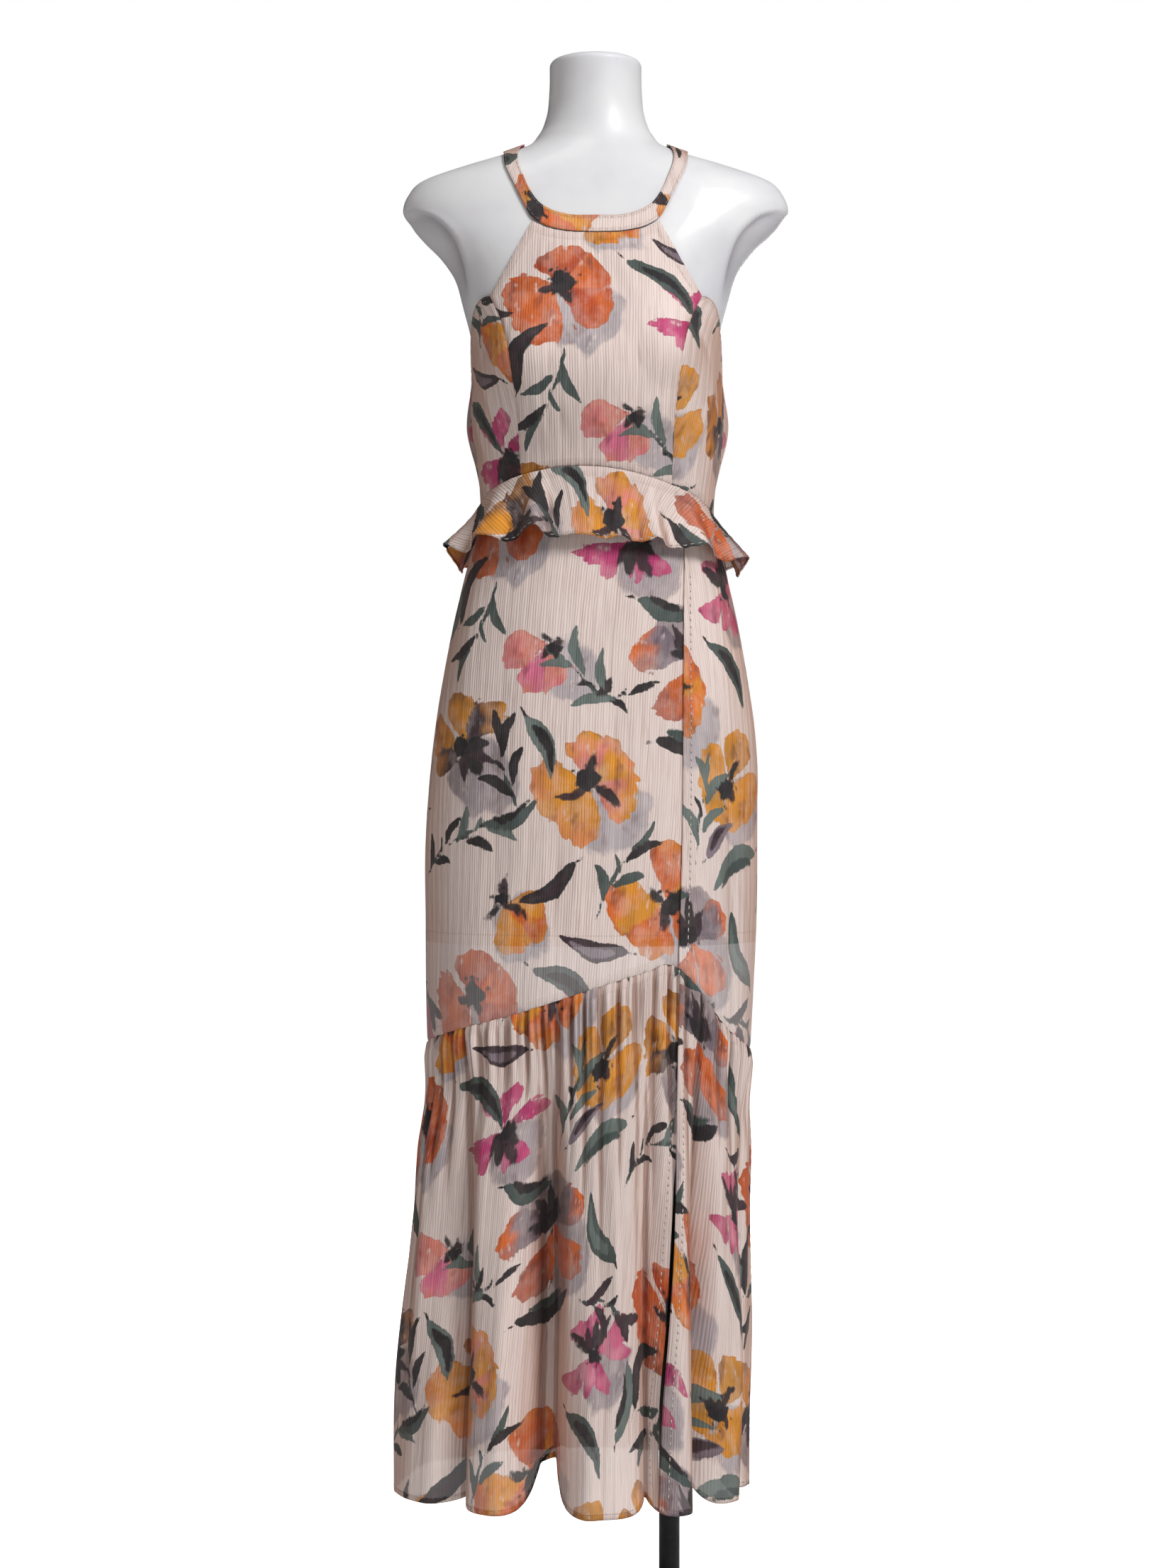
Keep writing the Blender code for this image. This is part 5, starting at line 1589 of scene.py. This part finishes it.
def build_form(material):
    rounded = np.linspace(0.0, math.pi / 2, 7)
    body = np.concatenate([
        np.linspace(FORM_TOP - TOP_ROUNDING, 1.600, 16)[1:], np.linspace(1.600, 1.395, 96)[1:],
        np.linspace(1.395, FORM_BOTTOM + BOTTOM_ROUNDING, 110)[1:],
    ])
    top, bottom = rounded[::-1], rounded[1:]
    heights = np.concatenate([
        FORM_TOP - TOP_ROUNDING * (1 - np.sin(top)), body,
        FORM_BOTTOM + BOTTOM_ROUNDING * (1 - np.sin(bottom)),
    ])
    draws = np.concatenate([
        TOP_ROUNDING * (1 - np.cos(top)), np.zeros(len(body)), BOTTOM_ROUNDING * (1 - np.cos(bottom)),
    ])
    bm = bmesh.new()
    bmesh.ops.create_uvsphere(bm, u_segments=FORM_SEGMENTS, v_segments=len(heights) + 1, radius=1.0)
    mesh, ball = raw_mesh("form_shell", bm)
    ring = np.rint(np.arccos(np.clip(ball[:, 2], -1, 1)) / math.pi * (len(heights) + 1)).astype(int)
    pole = (ring == 0) | (ring == len(heights) + 1)
    level = np.clip(ring - 1, 0, len(heights) - 1)
    angle = np.arctan2(ball[:, 0], -ball[:, 1])
    height = heights[level]
    radius = form_radius(angle, height)
    relief, shade = stump_relief(angle, radius, height)
    radius = radius + relief - draws[level]
    set_points(mesh, on_axis(angle, np.where(pole, 0.0, radius), height))
    # painted shade for the stumps' ends
    store(mesh, "hollow", shade)
    mesh.materials.append(material)
    return link_piece("form_shell", mesh)


# Stitches

STITCH_LIFT = 0.00020       # over the middle of the cloth's fine creases
THREAD_THICK = 0.00013


def build_stitches(name, path, normals, material, gap, length, slant):
    """Thread stitches along a path that lies on the cloth."""
    run = np.concatenate([[0.0], np.cumsum(np.linalg.norm(np.diff(path, axis=0), axis=1))])
    places = np.arange(gap / 2, run[-1] - gap / 2, gap)

    def on_path(values, at):
        return np.stack([np.interp(at, run, values[:, i]) for i in range(3)], axis=-1)

    out = unit(on_path(normals, places))
    ahead = unit(on_path(path, places + length / 2) - on_path(path, places - length / 2))
    side = unit(np.cross(out, ahead))
    lean = slant * np.where(np.arange(len(places)) % 2, 1.0, 0.6)
    ahead = unit(ahead + side * lean[:, None])
    side = unit(np.cross(out, ahead))

    bm = bmesh.new()
    bmesh.ops.create_uvsphere(bm, u_segments=6, v_segments=4, radius=1.0)
    corners = len(bm.verts)
    while len(bm.verts) < corners * len(places):
        bmesh.ops.duplicate(bm, geom=bm.verts[:] + bm.edges[:] + bm.faces[:])
    bmesh.ops.delete(bm, geom=bm.verts[:][corners * len(places):], context="VERTS")
    mesh, ball = raw_mesh(name, bm)
    which = np.arange(len(ball)) // corners
    middle = on_path(path, places) + out * 0.4 * THREAD_THICK
    set_points(
        mesh, middle[which] + ahead[which] * ball[:, :1] * length / 2
        + (side[which] * ball[:, 1:2] + out[which] * ball[:, 2:]) * THREAD_THICK
    )
    if (np.cross(ahead, side) * out).sum() < 0:
        mesh.flip_normals()
    mesh.materials.append(material)
    return link_piece(name, mesh)


def edge_path(place, u, v, creased, count=160):
    """Points and outward normals along a line of a surface; u and v are (start, end)."""
    u = np.linspace(*u, count)
    v = np.linspace(*v, count)
    points = place(u, v)
    rise = STITCH_LIFT + (crease_relief(points) if creased else 0.0 * u)
    nudge = 0.004
    along_u = place(u + nudge, v) - place(u - nudge, v)
    along_v = place(u, v + nudge) - place(u, v - nudge)
    normals = outward(points, np.cross(along_u, along_v))
    return points + normals * rise[:, None], normals


# Covered button

BUTTON_RADIUS = 0.0055
BUTTON_THICK = 0.0030
BUTTON_PLEATS = 13


def build_button(material):
    """Domed button under cloth, pleated at its rim, on the lapped ends of the neckband."""
    height = float(along(BAND_UPPER, 180.0) + along(BAND_LOWER, 180.0)) / 2
    below, behind, above = (float(form_radius(math.pi, height + step)) for step in (-0.006, 0.0, 0.006))
    lean = math.atan2(below - above, 0.012)
    out = behind + (2 * CLOTH + LAYER + BAND_GAP + SEAM + 0.0004) / math.cos(lean)
    bm = bmesh.new()
    bmesh.ops.create_uvsphere(bm, u_segments=78, v_segments=30, radius=1.0)
    mesh, ball = raw_mesh("cloth_button", bm)
    x, y, z = ball.T
    turn = np.arctan2(y, x)
    rim = hill(z - 0.12, 0.22)
    wide = BUTTON_RADIUS * (1 - 0.045 * rim * (0.5 + 0.5 * np.cos(BUTTON_PLEATS * turn)))
    deep = np.where(z > 0, 0.76 * BUTTON_THICK * np.abs(z) ** 1.1, -0.20 * BUTTON_THICK * np.abs(z))
    across, up, raised = x * wide, y * wide, deep + 0.22 * BUTTON_THICK
    set_points(mesh, np.stack([
        across,
        out + raised * math.cos(lean) - up * math.sin(lean),
        height + raised * math.sin(lean) + up * math.cos(lean),
    ], axis=-1))
    mesh.flip_normals()
    flat_x, flat_y = across + 0.355, up + 0.452
    flat_map(mesh, flat_x, flat_y)
    print_cloth(mesh, flat_x, flat_y)
    mesh.materials.append(material)
    return link_piece("cloth_button", mesh)


# Stage and light

WHITE = (1.0, 1.0, 1.0)
ROOM_TINT = (1.0, 0.91, 0.86)
FLOOR_LIT = 0.17             # distance from the stand up to which the floor shows its shadows
FLOOR_PLAIN = 0.25           # and from which it is plain white

Light = namedtuple("Light", "name place target size power colour")
LIGHTS = table(
    Light,
    ("key_right", (3.3, -3.7, 5.3), (0.0, 0.0, 1.0), 2.4, 312.0, (1.0, 0.995, 0.99)),
    ("fill_left", (-2.2, -3.1, 1.5), (0.0, 0.0, 1.0), 1.4, 8.0, (1.0, 0.95, 0.92)),
    ("overhead", (-0.4, -1.6, 4.6), (0.0, 0.0, 1.5), 1.2, 25.0, (1.0, 0.98, 0.97)),
    ("rim_left", (-2.4, 1.3, 1.9), (0.0, 0.0, 1.1), 1.2, 3.0, (1.0, 0.88, 0.80)),
    ("back", (0.6, 3.2, 1.3), (0.0, 0.0, 1.0), 1.4, 62.0, WHITE),
)


def area_light(row):
    light = bpy.data.lights.new(row.name, "AREA")
    light.shape = "DISK"
    light.size = row.size
    light.energy = row.power
    light.color = row.colour
    obj = link_piece(row.name, light)
    obj.location = row.place
    obj.rotation_euler = (Vector(row.target) - Vector(row.place)).to_track_quat("-Z", "Y").to_euler()


def build_stage():
    material, tree, shader = new_material("studio_white", 0.9, paint(246, 246, 246))
    shader.inputs["Emission Strength"].default_value = 1.0
    # the floor turns from lit white near the stand to plain white far away, so that it has no horizon
    away = tree.nodes.new("ShaderNodeVectorMath")
    away.operation = "LENGTH"
    tree.links.new(object_coordinates(tree), away.inputs[0])
    glow = map_range(tree, away.outputs["Value"], FLOOR_LIT, FLOOR_PLAIN, 0.50, 1.0)
    rays = tree.nodes.new("ShaderNodeLightPath")
    seen = times(tree, glow, rays.outputs["Is Camera Ray"])
    tree.links.new(mix_colour(tree, seen, (0.0, 0.0, 0.0), WHITE), shader.inputs["Emission Color"])
    bm = bmesh.new()
    bmesh.ops.create_circle(bm, cap_ends=True, segments=96, radius=14.0)
    mesh, _ = raw_mesh("floor", bm)
    mesh.materials.append(material)
    link_piece("floor", mesh)

    world = bpy.data.worlds.new("studio")
    bpy.context.scene.world = world
    world.use_nodes = True
    tree = world.node_tree
    background = tree.nodes["Background"]
    rays = tree.nodes.new("ShaderNodeLightPath")
    shown = rays.outputs["Is Camera Ray"]
    tree.links.new(mix_colour(tree, shown, ROOM_TINT, WHITE), background.inputs["Color"])
    strength = map_range(tree, shown, 0.0, 1.0, 0.06, 1.0, smooth=False)
    tree.links.new(strength, background.inputs["Strength"])

    for light in LIGHTS:
        area_light(light)
    bpy.context.scene.view_settings.view_transform = "Standard"


# Lines of stitches: piece, start and end across and down it, spacing, length and slant
StitchRun = namedtuple("StitchRun", "piece u v gap length slant")
STITCH_RUNS = table(
    StitchRun,
    ("front_tier_under", (0.02, 0.975), (0.9885, 0.9885), 0.0046, 0.0026, 0.0),
    ("front_tier_over", (0.05, 0.98), (0.9885, 0.9885), 0.0046, 0.0026, 0.0),
    ("back_tier", (0.01, 0.99), (0.987, 0.987), 0.0046, 0.0026, 0.0),
    ("front_tier_over", (0.043, 0.043), (0.03, 0.975), 0.0038, 0.0020, 1.3),
    ("front_tier_under", (0.981, 0.981), (0.05, 0.975), 0.0038, 0.0020, 1.3),
    ("front_skirt_over", (0.066, 0.066), (0.16, 0.985), 0.0038, 0.0020, 1.4),
    ("ruffle_front", (0.01, 0.99), (0.962, 0.962), 0.0040, 0.0024, 0.5),
    ("ruffle_back", (0.01, 0.99), (0.958, 0.958), 0.0040, 0.0024, 0.5),
    ("neck_band", (0.03, 0.99), (0.86, 0.86), 0.0034, 0.0022, 0.0),
    ("neck_band", (0.03, 0.99), (0.12, 0.12), 0.0034, 0.0022, 0.0),
    ("front_bodice_left", (0.06, 0.98), (0.973, 0.973), 0.0036, 0.0022, 0.0),
    ("front_bodice_right", (0.06, 0.98), (0.973, 0.973), 0.0036, 0.0022, 0.0),
    ("back_bodice_left", (0.02, 0.98), (0.961, 0.961), 0.0036, 0.0022, 0.0),
    ("back_bodice_right", (0.02, 0.98), (0.961, 0.961), 0.0036, 0.0022, 0.0),
    ("front_bodice_centre", (0.034, 0.040), (0.70, 0.985), 0.0036, 0.0022, 0.0),
    ("front_bodice_centre", (0.966, 0.960), (0.70, 0.985), 0.0036, 0.0022, 0.0),
    ("lining", (0.01, 0.99), (0.975, 0.975), 0.0048, 0.0026, 0.0),
)

# Panels of cloth: surface, size and step across and down it, cut, sewn edges, turned edges and the solid it
# stands for. Then its flat cut: width and length, how it is held, on what, and the area of a shaped cut
Panel = namedtuple("Panel", "place size step cut seams turned node flat held rests_on area")

BODICE_STEP = (0.0017, 0.0031)
BACK_STEP = (0.0019, 0.0033)
RUFFLE_STEP = (0.0017, 0.0024)
SKIRT_STEP = (0.0019, 0.0031)
TIER_STEP = (0.0019, 0.0032)
ARMHOLE = {"b": TURN_ARMHOLE}
ROLLED = {"b": 0.0024}
SIDE_LEFT = inset(math.radians(-SIDE_SEAM), TIER_REACH, 1)
SIDE_RIGHT = inset(math.radians(SIDE_SEAM), TIER_REACH, -1)
SLIT = math.radians(30.0)
FORM_PIECE = ["form_shell"]


def slit_lift(angle):
    """The slit's upper layer lies outside the lower one near its free edge."""
    return (CLOTH + 4 * LAYER) * (1 - soft_step((angle - math.radians(46.0)) / 0.2))


PANELS = {
    "front_bodice_centre": Panel(
        bodice_centre, (0.205, 0.25), BODICE_STEP, cut_straight(0.10, 0.02), "lrtb", {},
        "bodice_front_centre", (0.240, 0.310), "draped", FORM_PIECE, 0.049,
    ),
    "front_bodice_left": Panel(
        bodice_side(-1), (0.10, 0.20), BODICE_STEP, cut_straight(0.18, 0.17), "lrt", ARMHOLE,
        "bodice_front_left", (0.150, 0.240), "draped", FORM_PIECE, 0.021,
    ),
    "front_bodice_right": Panel(
        bodice_side(1), (0.10, 0.20), BODICE_STEP, cut_straight(0.44, 0.17), "lrt", ARMHOLE,
        "bodice_front_right", (0.152, 0.252), "draped", FORM_PIECE, 0.023,
    ),
    "back_bodice_left": Panel(
        bodice_back(-1), (0.20, 0.14), BODICE_STEP, cut_straight(-0.09, 0.36), "lrt", ARMHOLE,
        "bodice_back_left", (0.206, 0.158), "draped", FORM_PIECE, 0.028,
    ),
    "back_bodice_right": Panel(
        bodice_back(1), (0.20, 0.14), BODICE_STEP, cut_straight(0.23, 0.36), "lrt", ARMHOLE,
        "bodice_back_right", (0.208, 0.158), "draped", FORM_PIECE, 0.029,
    ),
    "neck_band": Panel(
        neckband, (0.44, 0.018), (0.0018, 0.0015), cut_straight(0.22, 0.04), "", {"t": 0.004, "b": 0.004},
        "neckband", (0.715, 0.026), "draped", FORM_PIECE, None,
    ),
    "ruffle_front": Panel(
        ruffle(-90.0, 90.0), (0.50, 0.075), RUFFLE_STEP, cut_circular(0.16, 0.33), "lrt", ROLLED,
        "waist_ruffle_front", (0.350, 0.200), "hung", ["front_bodice_centre"], 0.028,
    ),
    "ruffle_back": Panel(
        ruffle(90.0, 270.0), (0.48, 0.065), RUFFLE_STEP, cut_circular(0.05, 0.20), "lrt", ROLLED,
        "waist_ruffle_back", (0.346, 0.165), "hung", ["back_bodice_left", "back_bodice_right"], 0.025,
    ),
    "front_skirt_under": Panel(
        skirt_under, (0.34, 0.52), SKIRT_STEP, cut_straight(0.15, 0.26), "ltb", {},
        "skirt_front_under", (0.395, 0.606), "hung", FORM_PIECE, 0.189,
    ),
    "front_skirt_over": Panel(
        skirt_over, (0.13, 0.52), (0.0018, 0.0031), cut_straight(0.37, 0.05), "rtb", {"l": TURN_FREE_EDGE},
        "skirt_front_over", (0.185, 0.590), "hung", ["front_skirt_under"], 0.076,
    ),
    "back_skirt_left": Panel(
        skirt_back(-1), (0.25, 0.55), BACK_STEP, cut_straight(0.04, 0.11), "lrtb", {},
        "skirt_back_left", (0.255, 0.580), "hung", FORM_PIECE, 0.132,
    ),
    "back_skirt_right": Panel(
        skirt_back(1), (0.25, 0.55), BACK_STEP, cut_straight(0.38, 0.11), "lrtb", {},
        "skirt_back_right", (0.248, 0.567), "hung", FORM_PIECE, 0.130,
    ),
    "lining": Panel(
        lining, (0.95, 0.45), (0.006, 0.008), cut_straight(0.0, 0.0), "", {"b": 0.010},
        "skirt_lining", (0.965, 0.495), "hung", FORM_PIECE, 0.408,
    ),
    "front_tier_under": Panel(
        tier_place(SIDE_LEFT, SLIT, right_edge=TIER_UNDER_EDGE), (0.46, 0.53), TIER_STEP,
        cut_gathered(0.02, 0.31), "lt", {"r": TURN_FREE_EDGE, "b": TURN_HEM},
        "tier_front_under", (0.470, 0.560), "gathered", ["front_skirt_under"], None,
    ),
    "front_tier_over": Panel(
        tier_place(SLIT, SIDE_RIGHT, left_edge=TIER_OVER_EDGE, lift=slit_lift), (0.20, 0.53), TIER_STEP,
        cut_gathered(0.24, 0.12), "rt", {"l": TURN_FREE_EDGE, "b": TURN_HEM},
        "tier_front_over", (0.235, 0.550), "gathered", ["front_skirt_over"], None,
    ),
    "back_tier": Panel(
        tier_place(SIDE_RIGHT + SEAM / TIER_REACH, SIDE_LEFT + 2 * math.pi - SEAM / TIER_REACH),
        (0.70, 0.47), (0.0021, 0.0035), cut_gathered(0.11, 0.07), "lrt", {"b": TURN_HEM},
        "tier_back", (0.640, 0.465), "gathered", ["back_skirt_left", "back_skirt_right"], None,
    ),
}


# Build

def main():
    groups = watercolour_group(), crinkle_group(), sewing_and_fold_shade_group()
    bodice_cloth = chiffon_material("chiffon_bodice", *groups, 1.0)
    cloths = {
        "skirt": chiffon_material("chiffon_skirt", *groups, 0.98),
        "tier": chiffon_material("chiffon_tier", *groups, 0.965),
        "lining": lining_material(),
    }
    black, thread = metal_material(), thread_material()

    def declare(piece, node=None):
        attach(piece, "root")
        if node:
            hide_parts(node)

    declare(build_form(form_material()), "dress_form")
    for node in ("base_plate", "pole", "pole_collar", "pole_socket"):
        obj = bpy.data.objects[node]
        obj.data.materials.clear()
        obj.data.materials.append(black)

    pieces, slots, creased = {}, {}, {}
    for name, row in PANELS.items():
        columns, rows = (steps(size, step) for size, step in zip(row.size, row.step))
        cloth = next((cloths[word] for word in cloths if word in name), bodice_cloth)
        creased[name] = "bodice" in name or "skirt" in name
        slots[name] = "lining_cloth" if name == "lining" else "printed_chiffon"
        pieces[name] = build_sheet(
            name, row.place, columns, rows, cloth, row.cut, row.seams, row.turned, creased[name]
        )
        declare(pieces[name], row.node)
    declare(build_button(bodice_cloth), "neck_button")

    sewn_on = {name: [] for name in pieces}
    for number, run in enumerate(STITCH_RUNS):
        path, normals = edge_path(PANELS[run.piece].place, run.u, run.v, creased[run.piece])
        name = f"stitches_{run.piece}_{number}"
        stitches = build_stitches(name, path, normals, thread, run.gap, run.length, run.slant)
        declare(stitches)
        sewn_on[run.piece].append(stitches)

    build_stage()


main()
